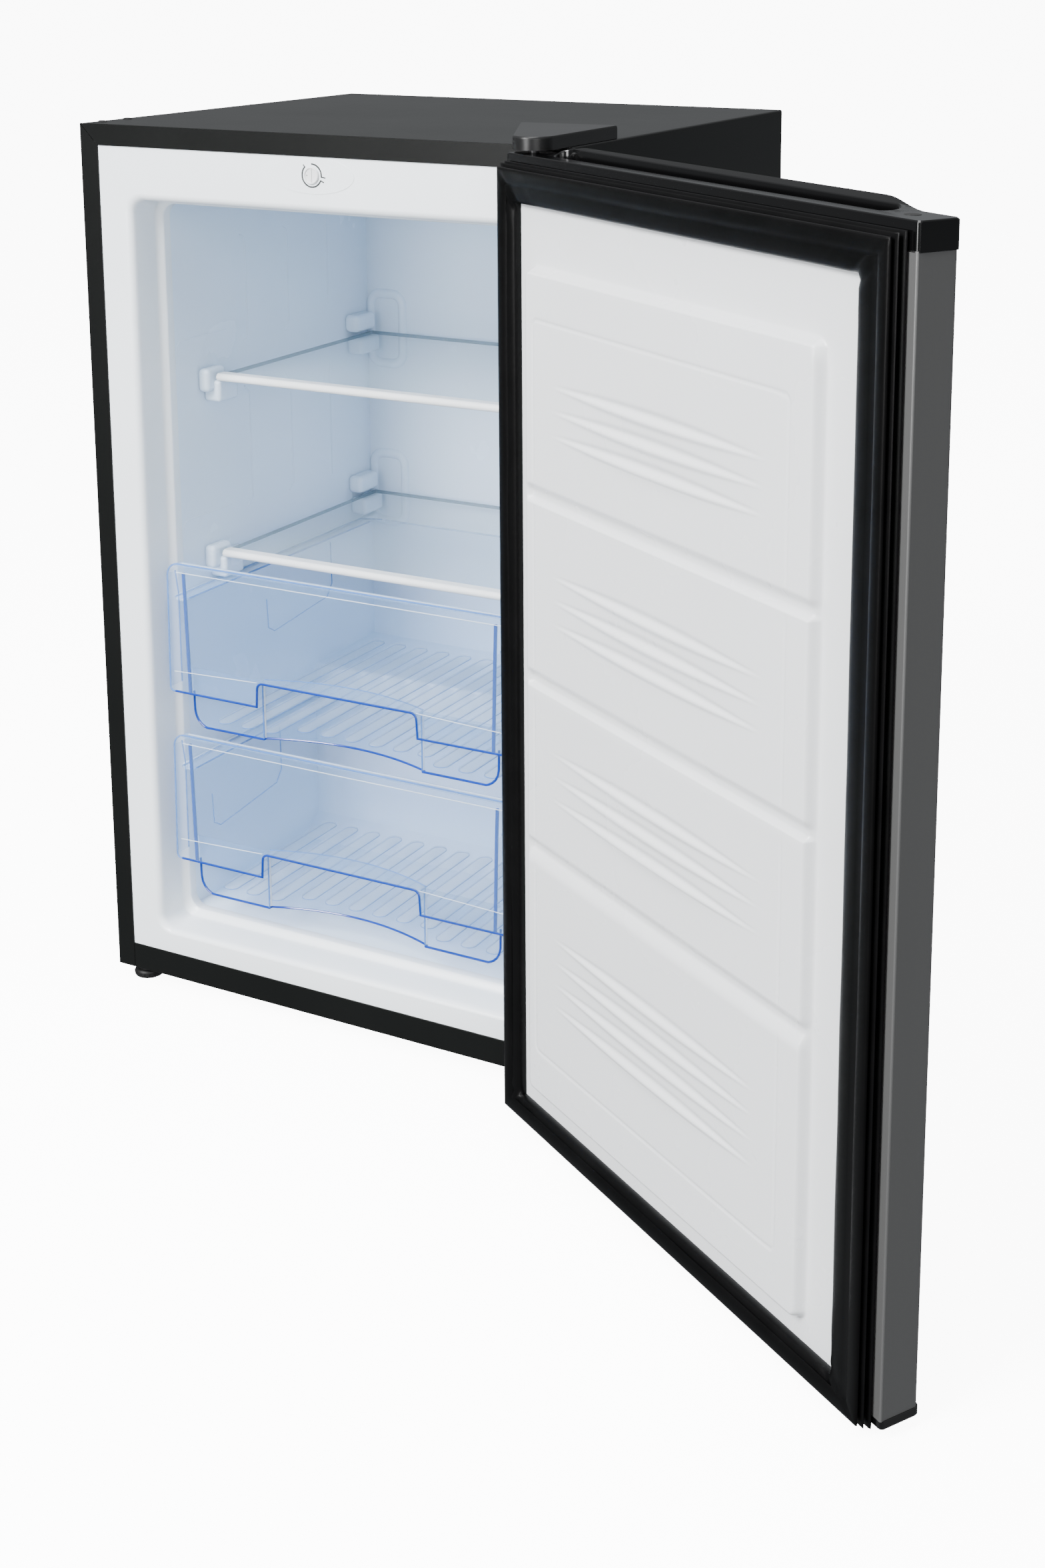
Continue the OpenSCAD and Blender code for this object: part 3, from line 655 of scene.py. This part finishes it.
def shelf(name):
    trim_low, trim_high = mm_box(f"{name}_trim")
    glass_low, glass_high = mm_box(f"{name}_glass")
    p = Piece()
    nose, pane_low, pane_high = 3.7, glass_low.z - 0.1, glass_high.z + 0.1
    y0, middle = trim_low.y, (glass_low.z + glass_high.z) / 2
    outline = arc(y0 + nose, middle, nose, 90, 270, 12) + [
        (y0 + 13, middle - nose), (y0 + 14, pane_low), (glass_low.y, pane_low), (glass_low.y, pane_high),
        (y0 + 13, pane_high), (y0 + 12, middle + nose),
    ]
    p.prism(outline, "yz", trim_low.x + 1, trim_high.x - 1, TRIM_WHITE, bevel=0.3, segments=2)
    p.place(f"{name}_front_trim", name, "trim_white", f"{name}_trim")
    p = Piece()
    p.block(glass_low, glass_high, GLASS, 0.5, 2)
    glass = p.place(f"{name}_pane", name, "shelf_glass", f"{name}_glass")
    glass.data.materials.append(GLASS_EDGE)
    for face in glass.data.polygons:
        if abs(face.normal.z) < 0.5:
            face.material_index = 1


# ---- drawers ----

TUB_HALF = 168.0
TUB_CORNER = 15.0
FLOOR_ROUND = 17.0
GRIP_HALF = 86.0
GRIP_TOP = 58.0
SKIRT = 35.0
RIM = 125.0
BOW = 17.0
TUB_LEVELS = (0.0, 1.4, 3.6, 7.0, 11.5, 17.0, SKIRT, GRIP_TOP)
SLATS = 12
SLAT_PITCH = 26.5


def tub_half(z):
    """Half the tub's width at a height above its floor."""
    inset = FLOOR_ROUND - sqrt(max(0.0, FLOOR_ROUND ** 2 - max(0.0, FLOOR_ROUND - z) ** 2))
    return TUB_HALF - inset - 3.0 * (1 - z / RIM)


def drawer(node):
    low, high = mm_box(node)
    front, back, z0, half = low.y, high.y, low.z, high.x
    tall = high.z - z0
    flush, recess = front + 9, front + 12
    p = Piece()

    def raised(points):
        """Points whose heights are given above the drawer's floor."""
        return [(x, y, z0 + z) for x, y, z in points]

    def rod(points, r, material, sides=6):
        p.tube(raised(points), r, material, sides)

    def front_line(y_flush):
        """The tub's lower front from left to right, with the bowed grip recess."""
        bowed = []
        for k in range(17):
            x = -GRIP_HALF + 2 * GRIP_HALF * k / 16
            bowed.append((x, recess + BOW * (1 - (x / GRIP_HALF) ** 2)))
        return [(-GRIP_HALF, y_flush)] + bowed + [(GRIP_HALF, y_flush)]

    def ring_at(z, whole):
        """The tub's outline at a height, whole or open at the front."""
        w = tub_half(z)
        y0, y1 = (flush if whole else front + 1), back - (TUB_HALF - w)
        side_and_back = (
            [(w, y0)]
            + arc(w - TUB_CORNER, y1 - TUB_CORNER, TUB_CORNER, 0, 90, 6)
            + arc(-w + TUB_CORNER, y1 - TUB_CORNER, TUB_CORNER, 90, 180, 6)
            + [(-w, y0)]
        )
        return [(x, y, z0 + z) for x, y in (front_line(flush) if whole else []) + side_and_back]

    def tub():
        p.loft([ring_at(z, True) for z in TUB_LEVELS], CLEAR, caps=(True, False))
        p.loft([ring_at(z, False) for z in (GRIP_TOP, 90.0, RIM)], CLEAR, caps=(False, False), closed=False)
        # roof of the grip recess
        roof = [(-GRIP_HALF, front)] + front_line(front)[1:-1] + [(GRIP_HALF, front)]
        p.sheet([(x, y, z0 + GRIP_TOP) for x, y in roof], CLEAR_THICK)

    def front_plate():
        """A plate with round top corners and the grip cut out of its lower edge."""
        r, g = 12.0, 6.0
        grip = arc(-GRIP_HALF + g, GRIP_TOP - g, g, 180, 90, 5)
        grip += arc(GRIP_HALF - g, GRIP_TOP - g, g, 90, 0, 5)
        plate = (
            arc(half - 4, SKIRT + 4, 4, -90, 0, 4)
            + arc(half - 1.5 - r, tall - r, r, 0, 90, 6)
            + arc(-half + 1.5 + r, tall - r, r, 90, 180, 6)
            + arc(-half + 4, SKIRT + 4, 4, 180, 270, 4)
            + [(-GRIP_HALF - 1, SKIRT)]
            + grip
            + [(GRIP_HALF + 1, SKIRT)]
        )
        p.sheet([(x, front, z0 + z) for x, z in plate], CLEAR)
        p.tube([(x, front + 0.8, z0 + z) for x, z in plate], 0.85, CLEAR_LINE, 8, loop=True)
        # the cut's own edge is thicker and bluer
        cut = [(-half + 6, SKIRT + 0.2), (-GRIP_HALF - 1, SKIRT)] + grip
        cut += [(GRIP_HALF + 1, SKIRT), (half - 6, SKIRT + 0.2)]
        p.tube([(x, front + 0.6, z0 + z) for x, z in cut], 1.15, CLEAR_EDGE, 8)

    def ear(side):
        """The front plate turned back at one side, with its edge."""
        x, y = side * (half - 0.8), front + 17
        plate = [(x, front, SKIRT + 4), (x, y, SKIRT + 4), (x, y, RIM), (x, front + 13, tall - 12)]
        p.sheet(raised(plate + [(x, front, tall - 10)]), CLEAR)
        rod([(x, y, SKIRT + 4), (x, y, RIM), (x, front + 13, tall - 11)], 0.7, CLEAR_LINE)

    def wall_edges(side):
        """The tub's wall seen on its edge, below and above the skirt's height."""
        y = flush + 0.2
        wall = [(side * (tub_half(z) - 0.7), y, z) for z in (0.6, *TUB_LEVELS[1:-1])]
        rod([(side * GRIP_HALF, y, 0.7)] + wall, 1.15, CLEAR_EDGE, 8)
        y = front + 2
        rod([(side * (tub_half(SKIRT) - 2.2), y, SKIRT), (side * (TUB_HALF - 2), y, RIM),
             (side * (TUB_HALF - 1), y, tall - 8)], 1.7, CLEAR_EDGE, 8)

    def side_rim(side):
        """The rim that slides on the liner's ledge, with lines along both its edges."""
        inner, outer = side * (TUB_HALF - 1), side * (TUB_HALF + 14.6)
        x0, x1 = sorted((inner, side * (TUB_HALF + 15)))
        p.block((x0, front + 8, z0 + RIM - 1), (x1, back - 6, z0 + RIM + 0.8), CLEAR_THICK, 0.6, 2)
        rod([(outer, front + 10, RIM), (outer, back - 8, RIM), (side * (TUB_HALF - 8), back - 1, RIM)],
            0.9, CLEAR_LINE)
        rod([(inner, front + 10, RIM + 0.4), (inner, back - 15, RIM + 0.4)], 0.8, CLEAR_LINE)

    def grip_wall(side):
        x = side * GRIP_HALF
        rod([(x, flush, 1), (x, flush, GRIP_TOP - 5)], 0.7, CLEAR_LINE)
        # a painted highlight line down the recess's back corner
        rod([(x, recess, 1), (x, recess, GRIP_TOP - 5)], 0.7, CLEAR_PAINTED_HIGHLIGHT)
        y = front + 0.5
        wall = [(x, y, SKIRT), (x, recess, SKIRT), (x, recess, GRIP_TOP), (x, y, GRIP_TOP)]
        p.sheet(raised(wall), CLEAR_THICK)

    def side_emboss(side):
        """The embossed outline on a side wall."""
        x, y = side * (TUB_HALF - 2.2), back - 90
        rod([(x, y, RIM - 3), (x, y + 1, 78), (x, y - 8, 66), (x, y - 100, 56), (x, y - 110, 62),
             (x, y - 112, 92)], 0.55, CLEAR_LINE)

    def front_highlights():
        """The rolled top edge, and painted highlight lines along the front plate's top and beside the grip.
        """
        p.block((-half + 9, front + 0.3, z0 + tall - 2.4), (half - 9, front + 10, z0 + tall - 0.4),
                CLEAR_THICK, 0.8, 3)
        # painted highlights along the front plate's top and on the plate beside the grip
        for y, z, r in ((front + 9.6, tall - 2, 0.75), (front + 0.4, tall - 8, 0.5)):
            rod([(-half + 12, y, z), (half - 12, y, z)], r, CLEAR_PAINTED_HIGHLIGHT)
        y = front + 0.2
        rod([(-half + 6, y, 55), (-GRIP_HALF, y, 58.5)], 0.4, CLEAR_PAINTED_HIGHLIGHT)
        rod([(GRIP_HALF, y, 58.5), (half - 6, y, 55)], 0.4, CLEAR_PAINTED_HIGHLIGHT)

    def floor_slats():
        for k in range(SLATS):
            x = (k - (SLATS - 1) / 2) * SLAT_PITCH
            start = front + (40 if abs(x) < GRIP_HALF else 24)
            loop = rounded_box(x - 7.5, start, x + 7.5, back - 30, 7, 4)
            # slats in the paler tint: painted highlight
            p.prism(loop, "xy", z0 + 0.6, z0 + 2.8, CLEAR_SLAT_HIGHLIGHT, bevel=1.0, segments=2)
            p.tube([(a, b, z0 + 0.9) for a, b in loop], 0.4, CLEAR_LINE, 6, loop=True)

    tub()
    front_plate()
    for side in (-1, 1):
        ear(side)
        wall_edges(side)
        side_rim(side)
        grip_wall(side)
        side_emboss(side)
    front_highlights()
    # bottom edge and the arc at the recess's roof
    rod([(x, y, 0.7) for x, y in front_line(flush + 0.2)], 1.05, CLEAR_EDGE, 8)
    rod([(x, y, GRIP_TOP) for x, y in front_line(front)[1:-1]], 0.6, CLEAR_LINE)
    # back rim
    x = TUB_HALF - 12
    p.block((-x, back - 2.5, z0 + RIM - 1), (x, back - 0.2, z0 + RIM + 0.8), CLEAR_THICK, 0.6, 2)
    floor_slats()
    p.place(f"{node}_tub", node, "drawer_clear", node, sharp=28)


# ---- door, built shut and swung open ----

DOOR_Z0, DOOR_Z1 = BASE + 0.5, TOP - 22
DOOR_OUT = 46.0
DOOR_IN = 13.5
CAP_TALL = 19.0


def door_skin():
    p = Piece()
    y_out, y_in = FRONT - DOOR_OUT, FRONT - DOOR_IN
    r, fold_r, wall, fold = 3.0, 1.6, 1.2, 12
    # the inside of the folded sheet from left to right, then its outside back again
    outline = (
        [(LEFT + fold, y_in), (LEFT + fold, y_in - 1), (LEFT + wall, y_in - 1)]
        + [(LEFT + wall, y_out + wall), (RIGHT - wall, y_out + wall)]
        + [(RIGHT - wall, y_in - 1), (RIGHT - fold, y_in - 1), (RIGHT - fold, y_in)]
        + arc(RIGHT - fold_r, y_in - fold_r, fold_r, 90, 0, 4)
        + arc(RIGHT - r, y_out + r, r, 0, -90, 6)
        + arc(LEFT + r, y_out + r, r, -90, -180, 6)
        + arc(LEFT + fold_r, y_in - fold_r, fold_r, 180, 90, 4)
    )
    p.prism(outline, "xy", DOOR_Z0 - 0.5, DOOR_Z1 + 0.5, DOOR_STEEL, bevel=0)
    p.place("door_wrap", "door", "door_steel", "door_skin", swung=True, sharp=40)


CAP_PROUD = 1.6  # how far a cap stands out in front of the door's face
TOP_BULGE = 5.0  # how much further the top cap's outer edge swells


def cap_outline(inset=0.0, bulge=0.0):
    """Outline of a door cap in the X-Y plane, a little proud of the steel."""
    y_out, y_in = FRONT - DOOR_OUT - CAP_PROUD + inset, FRONT - DOOR_IN - inset
    x0, x1 = LEFT - 0.6 + inset, RIGHT + 0.6 - inset
    outer = []
    for k in range(1, 80):
        t = k / 80
        x = x0 + 4 + (x1 - x0 - 8) * t
        swell = smooth_step((t - 0.06) / 0.09) * smooth_step((0.96 - t) / 0.08)
        outer.append((x, y_out - bulge * swell))
    return (
        arc(x0 + 3, y_in - 3, 3, 90, 180, 3)
        + arc(x0 + 4, y_out + 4, 4, 180, 262, 4)
        + outer
        + arc(x1 - 4, y_out + 4, 4, -82, 0, 4)
        + arc(x1 - 3, y_in - 3, 3, 0, 90, 3)
    )


def door_top_cap():
    """The top moulding: a swollen outer lip and a long slot sunk into its top."""
    p = Piece()
    z0, z1 = DOOR_Z1, DOOR_Z1 + CAP_TALL
    slot_mid = FRONT - DOOR_IN - 21
    slot_x0, slot_x1, slot_half = LEFT + 46, RIGHT - 46, 8.5
    slot_line = (
        arc(slot_x1 - slot_half, slot_mid, slot_half, -90, 90, 10)
        + arc(slot_x0 + slot_half, slot_mid, slot_half, 90, 270, 10)
    )

    def lift(x, y):
        """The outer lip stands higher than the inner strip between the two ends."""
        t = smooth_step((x - LEFT - 32) / 44) * smooth_step((RIGHT - 24 - x) / 34)
        return 6.0 * t * smooth_step((FRONT - DOOR_IN - 12 - y) / 18)

    def narrowed(share):
        """The slot's line drawn in a little, to a share of its width."""
        middle = (slot_x0 + slot_x1) / 2
        along = 1 - 2 / (slot_x1 - slot_x0)
        return [(middle + (x - middle) * along, slot_mid + (y - slot_mid) * share) for x, y in slot_line]

    part = bmesh.new()
    wall_low = [part.verts.new((x, y, z0 - 0.5)) for x, y in cap_outline()]
    wall_high = [part.verts.new((x, y, z1 - 1.2 + lift(x, y))) for x, y in cap_outline(0.0, TOP_BULGE)]
    lip_high = [part.verts.new((x, y, z1 + lift(x, y))) for x, y in cap_outline(1.0, TOP_BULGE)]
    skin(part, (wall_low, wall_high, lip_high))
    part.faces.new(wall_low)
    slot_high = [part.verts.new((x, y, z1 + lift(x, y))) for x, y in slot_line]
    slot_mouth = [part.verts.new((x, y, z1 - 1.5 + lift(x, y))) for x, y in narrowed(0.86)]
    slot_low = [part.verts.new((x, y, z0 + 4)) for x, y in narrowed(0.8)]
    skin(part, (slot_high, slot_mouth, slot_low))
    part.faces.new(slot_low)
    # the face between the lip and the slot
    edges = []
    for ring in (lip_high, slot_high):
        edges += [part.edges.get((ring[i], ring[(i + 1) % len(ring)])) for i in range(len(ring))]
    bmesh.ops.triangle_fill(part, edges=edges, use_beauty=True)
    p.take(part, GLOSS_BLACK)
    p.place("door_top_moulding", "door", "black_plastic", "door_top_cap", swung=True, sharp=40)


def door_cap_plug():
    p = Piece()
    centre = (LEFT + 25, FRONT - (DOOR_IN + DOOR_OUT) / 2, 0)
    z = DOOR_Z1 + CAP_TALL
    p.turned([(0.1, z + 0.5), (4.6, z + 0.5), (5.6, z + 0.25), (6, z - 0.4), (6, z - 4.5), (0.1, z - 4.5)],
             centre, "z", MATTE_BLACK, 36)
    p.place("door_top_plug", "door", "black_plastic", "door_cap_plug", swung=True)


def door_bottom_cap():
    p = Piece()
    z0 = mm_box("door_bottom_cap")[0].z - 4.5
    levels = ((3.0, z0), (0.6, z0 + 2.2), (0.0, z0 + 3.2), (0.0, DOOR_Z0 - 0.2), (0.9, DOOR_Z0 + 0.3))
    p.loft([[(x, y, z) for x, y in cap_outline(inset)] for inset, z in levels], GLOSS_BLACK)
    p.place("door_bottom_moulding", "door", "black_plastic", "door_bottom_cap", swung=True, sharp=30)


# ---- door liner: a relief over the door's inner face ----

LINER_U = (11.0, 486.0)
LINER_Z = (BASE + 1, TOP - 17)
PANEL_U = (44.0, 417.0)
PANEL_Z = (BASE + 30, BASE + 726)
FRAME_U = (58, 390)  # a fine sunk line inside the panel's edge
FRAME_Z = (BASE + 70, BASE + 688)
RIB_U = (84, 368)
GROOVES = (BASE + 250, BASE + 394, BASE + 548)
LINER_BASE_V = 11.5
PANEL_V = 3.0


def rounded_inside(u, z, box, corner):
    """Signed distance outside a rectangle with round corners; negative inside."""
    (u0, u1), (z0, z1) = box
    du = abs(u - (u0 + u1) / 2) - (u1 - u0) / 2 + corner
    dz = abs(z - (z0 + z1) / 2) - (z1 - z0) / 2 + corner
    outside = sqrt(max(du, 0) ** 2 + max(dz, 0) ** 2)
    return outside + min(max(du, dz), 0) - corner


def rib_rows():
    """Middle heights of the leaf-shaped ribs, in groups between the grooves."""
    groups = ((BASE + 620, 3), (BASE + 468, 3), (BASE + 321, 3), (BASE + 152, 4))
    return [middle + (k - (count - 1) / 2) * 19.5 for middle, count in groups for k in range(count)]


RIBS = rib_rows()


def liner_depth(u, z):
    """How far the door liner's face lies outwards from the cabinet's front plane."""
    d = rounded_inside(u, z, (PANEL_U, PANEL_Z), 8)
    raised = smooth_step((2.5 - d) / 5.5)
    v = LINER_BASE_V - (LINER_BASE_V - PANEL_V) * raised
    for g in GROOVES:
        off = z - g
        # steep below, gently sloped above
        trough = smooth_step((off + 7) / 3.5) * smooth_step((9 - off) / 9)
        v += 4.8 * trough * raised * smooth_step((u - PANEL_U[0] - 1) / 6)
    line = abs(rounded_inside(u, z, (FRAME_U, FRAME_Z), 6))
    v += 0.8 * smooth_step((1.7 - line) / 1.7) * (1 if min(abs(z - g) for g in GROOVES) > 14 else 0)
    if RIB_U[0] < u < RIB_U[1]:
        t = (u - RIB_U[0]) / (RIB_U[1] - RIB_U[0])
        swell = sin(pi * t) ** 0.8
        for rib in RIBS:
            off = (z - rib) / (7.5 * swell + 0.4)
            if -1 < off < 1:
                # a leaf: dips on its upper side and rises on its lower side
                v += 2.0 * swell * sin(pi * off) * (1 - off * off)
    return v


def grid_lines(start, end, step, edges, reach, fine):
    """Positions from start to end that are closer together round the given edges."""
    lines, at = [start], start
    while at < end:
        near = min(abs(at - e) for e in edges)
        at += fine if near < reach else step
        lines.append(min(at, end))
    return lines


def door_liner():
    us = grid_lines(*LINER_U, 7.0, (*PANEL_U, *FRAME_U), reach=7, fine=1.2)
    z_edges = (*PANEL_Z, *FRAME_Z, *GROOVES, *RIBS)
    zs = grid_lines(*LINER_Z, 6.0, z_edges, reach=9.5, fine=1.3)
    part = bmesh.new()
    rows = [[part.verts.new((RIGHT - u, FRONT - liner_depth(u, z), z)) for u in us] for z in zs]
    for a, b in zip(rows, rows[1:]):
        for i in range(len(us) - 1):
            part.faces.new((a[i], a[i + 1], b[i + 1], b[i]))
    p = Piece()
    p.take(part, DOOR_LINER)
    for face in p.bm.faces:
        if face.normal.y < 0:
            face.normal_flip()
    p.place("door_inner_panel", "door", "liner_white", "door_liner", swung=True, sharp=60, solid=1.5)


# ---- gasket ----

GASKET_U = (6.0, 489.0)
GASKET_Z = (BASE - 5, TOP - 13)
# band widths: hinge side, free side, bottom, top
GASKET_BAND = (21.0, 35.0, 17.0, 27.0)
CORNER_CUTS = (5, 10, 16, 24, 36)  # distances from a corner that get a section
FACE_POINTS = range(16, 26)  # the profile's points on the seal's face
CREASE_REACH = 11


def gasket_profile():
    """Points (distance in, depth, 0) in mm, or (share of the band, depth, 1), from the outer fold on."""
    return [
        (-2.4, 13.0, 0), (-3.6, 11.6, 0), (-3.0, 10.2, 0), (2.2, 9.4, 0), (3.6, 8.6, 0), (2.2, 7.8, 0),
        (-1.6, 7.0, 0), (-2.3, 6.2, 0), (-1.4, 5.4, 0), (3.0, 4.9, 0), (4.4, 4.2, 0), (3.2, 3.5, 0),
        (0.2, 2.9, 0), (0.0, 1.9, 0), (0.6, 1.0, 0), (2.0, 0.5, 0), (4.4, 0.35, 0), (8.0, 0.7, 0),
        (11.0, 1.6, 0), (12.6, 2.6, 0), (0.52, 2.5, 1), (0.66, 2.8, 1), (0.82, 3.8, 1), (0.93, 5.0, 1),
        (0.985, 6.2, 1), (1.0, 8.4, 1), (0.99, 11.2, 1), (0.9, 12.0, 1), (0.5, 12.6, 1), (4.0, 13.2, 0),
    ]


def door_gasket():
    p = Piece()
    (u0, u1), (z0, z1) = GASKET_U, GASKET_Z
    hinge_band, free_band, low_band, high_band = GASKET_BAND
    profile = gasket_profile()

    def inward(w, share, band):
        return w * band if share else w

    def corner(side_u, side_z):
        ring = []
        for w, v, share in profile:
            u = u0 + inward(w, share, hinge_band) if side_u < 0 else u1 - inward(w, share, free_band)
            z = z0 + inward(w, share, low_band) if side_z < 0 else z1 - inward(w, share, high_band)
            if side_u < 0:
                u = max(u, 1.0)
            ring.append(Vector((u, v, z)))
        return ring

    corners = [corner(-1, -1), corner(1, -1), corner(1, 1), corner(-1, 1)]
    rings = []
    for k in range(4):
        a, b = corners[k], corners[(k + 1) % 4]
        span = (b[0] - a[0]).length
        cuts = {0, *CORNER_CUTS, *(span - c for c in CORNER_CUTS), *(span * t / 12 for t in range(1, 12))}
        for c in sorted(c for c in cuts if c < span - 2):
            near = min(c, span - c)
            pinch = exp(-near / CREASE_REACH)
            ring = []
            for i, (p0, p1) in enumerate(zip(a, b)):
                q = p0.lerp(p1, c / span)
                if i in FACE_POINTS:
                    ripple = noise.noise(Vector((c * 0.045, k * 7.3, i * 0.35))) * 0.55
                    crease = 1.5 * pinch * sin(near * 0.42 + i * 0.5)
                    q.y += ripple + (crease if 19 < i < 25 else 0.3 * crease)
                ring.append((RIGHT - q.x, FRONT - max(q.y, 0.3), q.z))
            rings.append(ring)
    p.ring_sweep(rings, RUBBER)
    p.place("door_seal", "door", "gasket_rubber", "door_gasket", swung=True, sharp=62)


# ---- feet ----


FOOT_R = 14.0
GRIP_TEETH = 20
THREAD_TURNS = 14


def feet():
    # the right foot's neck is short, because the hinge bracket lies over it
    for name, neck in (("foot_left", 10.9), ("foot_right", 8.3)):
        low, high = mm_box(name)
        x, y = (low.x + high.x) / 2, (low.y + high.y) / 2
        p = Piece()
        profile = [(0.2, 0), (11.5, 0), (13.4, 0.5), (FOOT_R, 1.5), (FOOT_R, 5), (13.5, 6.4), (12.6, 7.4),
                   (11.2, 8), (11.0, neck - 0.3), (10.6, neck), (3.6, neck)]
        for k in range(THREAD_TURNS):
            z = 11 + k * 1.9
            profile += [(3.5, z), (3.9, z + 0.6), (3.9, z + 1.0), (3.5, z + 1.6)]
        profile += [(3.4, high.z - 0.4), (0.2, high.z)]
        p.turned(profile, (x, y, 0), "z", MATTE_BLACK, 40)
        for k in range(GRIP_TEETH):
            a = 2 * pi * k / GRIP_TEETH
            tooth_x, tooth_y = x + (FOOT_R - 0.1) * cos(a), y + (FOOT_R - 0.1) * sin(a)
            p.block((tooth_x - 0.5, tooth_y - 0.5, 1.8), (tooth_x + 0.5, tooth_y + 0.5, 5.2),
                    MATTE_BLACK, 0.3, 2)
        p.place(f"{name}_screw", name, "foot_plastic", name)


def foot_collar():
    """A ring under the base panel, above the left foot's travel."""
    low, high = mm_box("foot_left")
    centre = ((low.x + high.x) / 2, (low.y + high.y) / 2, 0)
    r_in, r_out, z0, z1 = 11.6, 13.4, BASE - 2.6, BASE - 0.1
    profile = [(r_in, z0), (r_out - 0.8, z0), (r_out, z0 + 0.8), (r_out, z1), (r_in, z1), (r_in, z0)]
    p = Piece()
    p.turned(profile, centre, "z", MATTE_BLACK, 40)
    p.place("foot_left_collar", "cabinet", "black_plastic")


# ---- carried-over CAD nodes ----


def paint_frame():
    paint(REAR_BLACK, "rear_panel")
    paint(ZINC, "base_panel", "niche_panel")
    paint(FOAM, "cabinet_foam", "door_foam")
    paint(ALUMINIUM, "evaporator_tube")
    paint(MATTE_BLACK, "thermostat_body", "rear_feet", "terminal_cover", "evaporation_tray",
          "gasket_magnets", "cable_gland")
    paint(HINGE_STEEL, "top_hinge_bracket", "bottom_hinge_bracket", "top_hinge_pin", "bottom_hinge_pin",
          "top_hinge_screws")
    paint(STEEL, "bottom_hinge_screws", "compressor_bolts")
    paint(NYLON, "lower_hinge_bush")
    paint(MATTE_BLACK, "upper_hinge_bush")
    paint(WIRE_BLACK, "compressor", "condenser_tube", "condenser_wires", "condenser_brackets",
          "compressor_plate")
    paint(RUBBER, "compressor_grommets")
    paint(COPPER, "filter_drier", "suction_pipe", "discharge_pipe")


# ---- surroundings ----

FLOOR_GLOW = 9.5
SKY_STRENGTH = 1.0
SKY_LOW = (0.50, 0.52, 0.54)
SKY_LEVEL = (0.22, 0.23, 0.24)
SKY_HIGH = (1.0, 1.02, 1.05)
# name, place in metres, size, power in watts, point it looks at
LAMPS = (
    ("key", (-1.0, -3.2, 3.0), 1.5, 390, (0.0, -0.1, 0.45)),
    ("low", (-0.7, -3.6, 0.9), 1.3, 95, (0.0, 0.1, 0.6)),
    ("fill", (2.7, -3.2, 1.5), 2.0, 60, (0.2, -0.2, 0.4)),
    ("top", (0.2, -0.9, 3.6), 1.8, 80, (0, -0.2, 0)),
)


def studio_floor():
    """A floor and far walls that glow white to the eye and stay out of the light on the object."""
    reach = 900.0
    mesh = bpy.data.meshes.new("floor")
    ring = [(-reach, -reach), (reach, -reach), (reach, reach), (-reach, reach)]
    corners = [(x, y, z) for z in (0, reach) for x, y in ring]
    walls = [(i, (i + 1) % 4, (i + 1) % 4 + 4, i + 4) for i in range(4)]
    mesh.from_pydata(corners, [], [(0, 1, 2, 3)] + walls)
    white = surface("floor_white", (0.95, 0.95, 0.95), 0.6, vary=0.004, bump=0.0, specular=0.2)
    shader = white.node_tree.nodes["Principled BSDF"]
    shader.inputs["Emission Color"].default_value = (1, 1, 1, 1)
    shader.inputs["Emission Strength"].default_value = FLOOR_GLOW
    mesh.materials.append(white)
    floor = bpy.data.objects.new("floor", mesh)
    floor.visible_diffuse = False
    floor.visible_glossy = False
    bpy.context.scene.collection.objects.link(floor)


def studio_sky():
    """A dim surround, brighter above than below."""
    world = bpy.data.worlds.new("studio")
    world.use_nodes = True
    nodes, links = world.node_tree.nodes, world.node_tree.links
    place = nodes.new("ShaderNodeTexCoord")
    axes = nodes.new("ShaderNodeSeparateXYZ")
    links.new(place.outputs["Generated"], axes.inputs["Vector"])
    ramp = nodes.new("ShaderNodeValToRGB")
    ramp.color_ramp.elements[0].position = 0.0
    ramp.color_ramp.elements[0].color = (*SKY_LOW, 1)
    ramp.color_ramp.elements[1].position = 1.0
    ramp.color_ramp.elements[1].color = (*SKY_HIGH, 1)
    ramp.color_ramp.elements.new(0.52).color = (*SKY_LEVEL, 1)
    span = nodes.new("ShaderNodeMapRange")
    span.inputs["From Min"].default_value = -1
    span.inputs["From Max"].default_value = 1
    links.new(axes.outputs["Z"], span.inputs["Value"])
    links.new(span.outputs["Result"], ramp.inputs["Fac"])
    back = nodes["Background"]
    links.new(ramp.outputs["Color"], back.inputs["Color"])
    back.inputs["Strength"].default_value = SKY_STRENGTH
    bpy.context.scene.world = world


def studio_lamps():
    for name, place, size, power, aim in LAMPS:
        lamp = bpy.data.lights.new(name, "AREA")
        lamp.size = size
        lamp.energy = power
        light = bpy.data.objects.new(name, lamp)
        light.location = place
        light.rotation_euler = (Vector(aim) - Vector(place)).to_track_quat("-Z", "Y").to_euler()
        bpy.context.scene.collection.objects.link(light)


cabinet_shell()
kick_rail()
hole_plugs()
liner()
liner_details()
thermostat_plate()
dial()
hinge_cover()
shelf("shelf_upper")
shelf("shelf_lower")
drawer("drawer_upper")
drawer("drawer_lower")
door_skin()
door_top_cap()
door_cap_plug()
door_bottom_cap()
door_liner()
door_gasket()
feet()
foot_collar()
paint_frame()
studio_floor()
studio_sky()
studio_lamps()
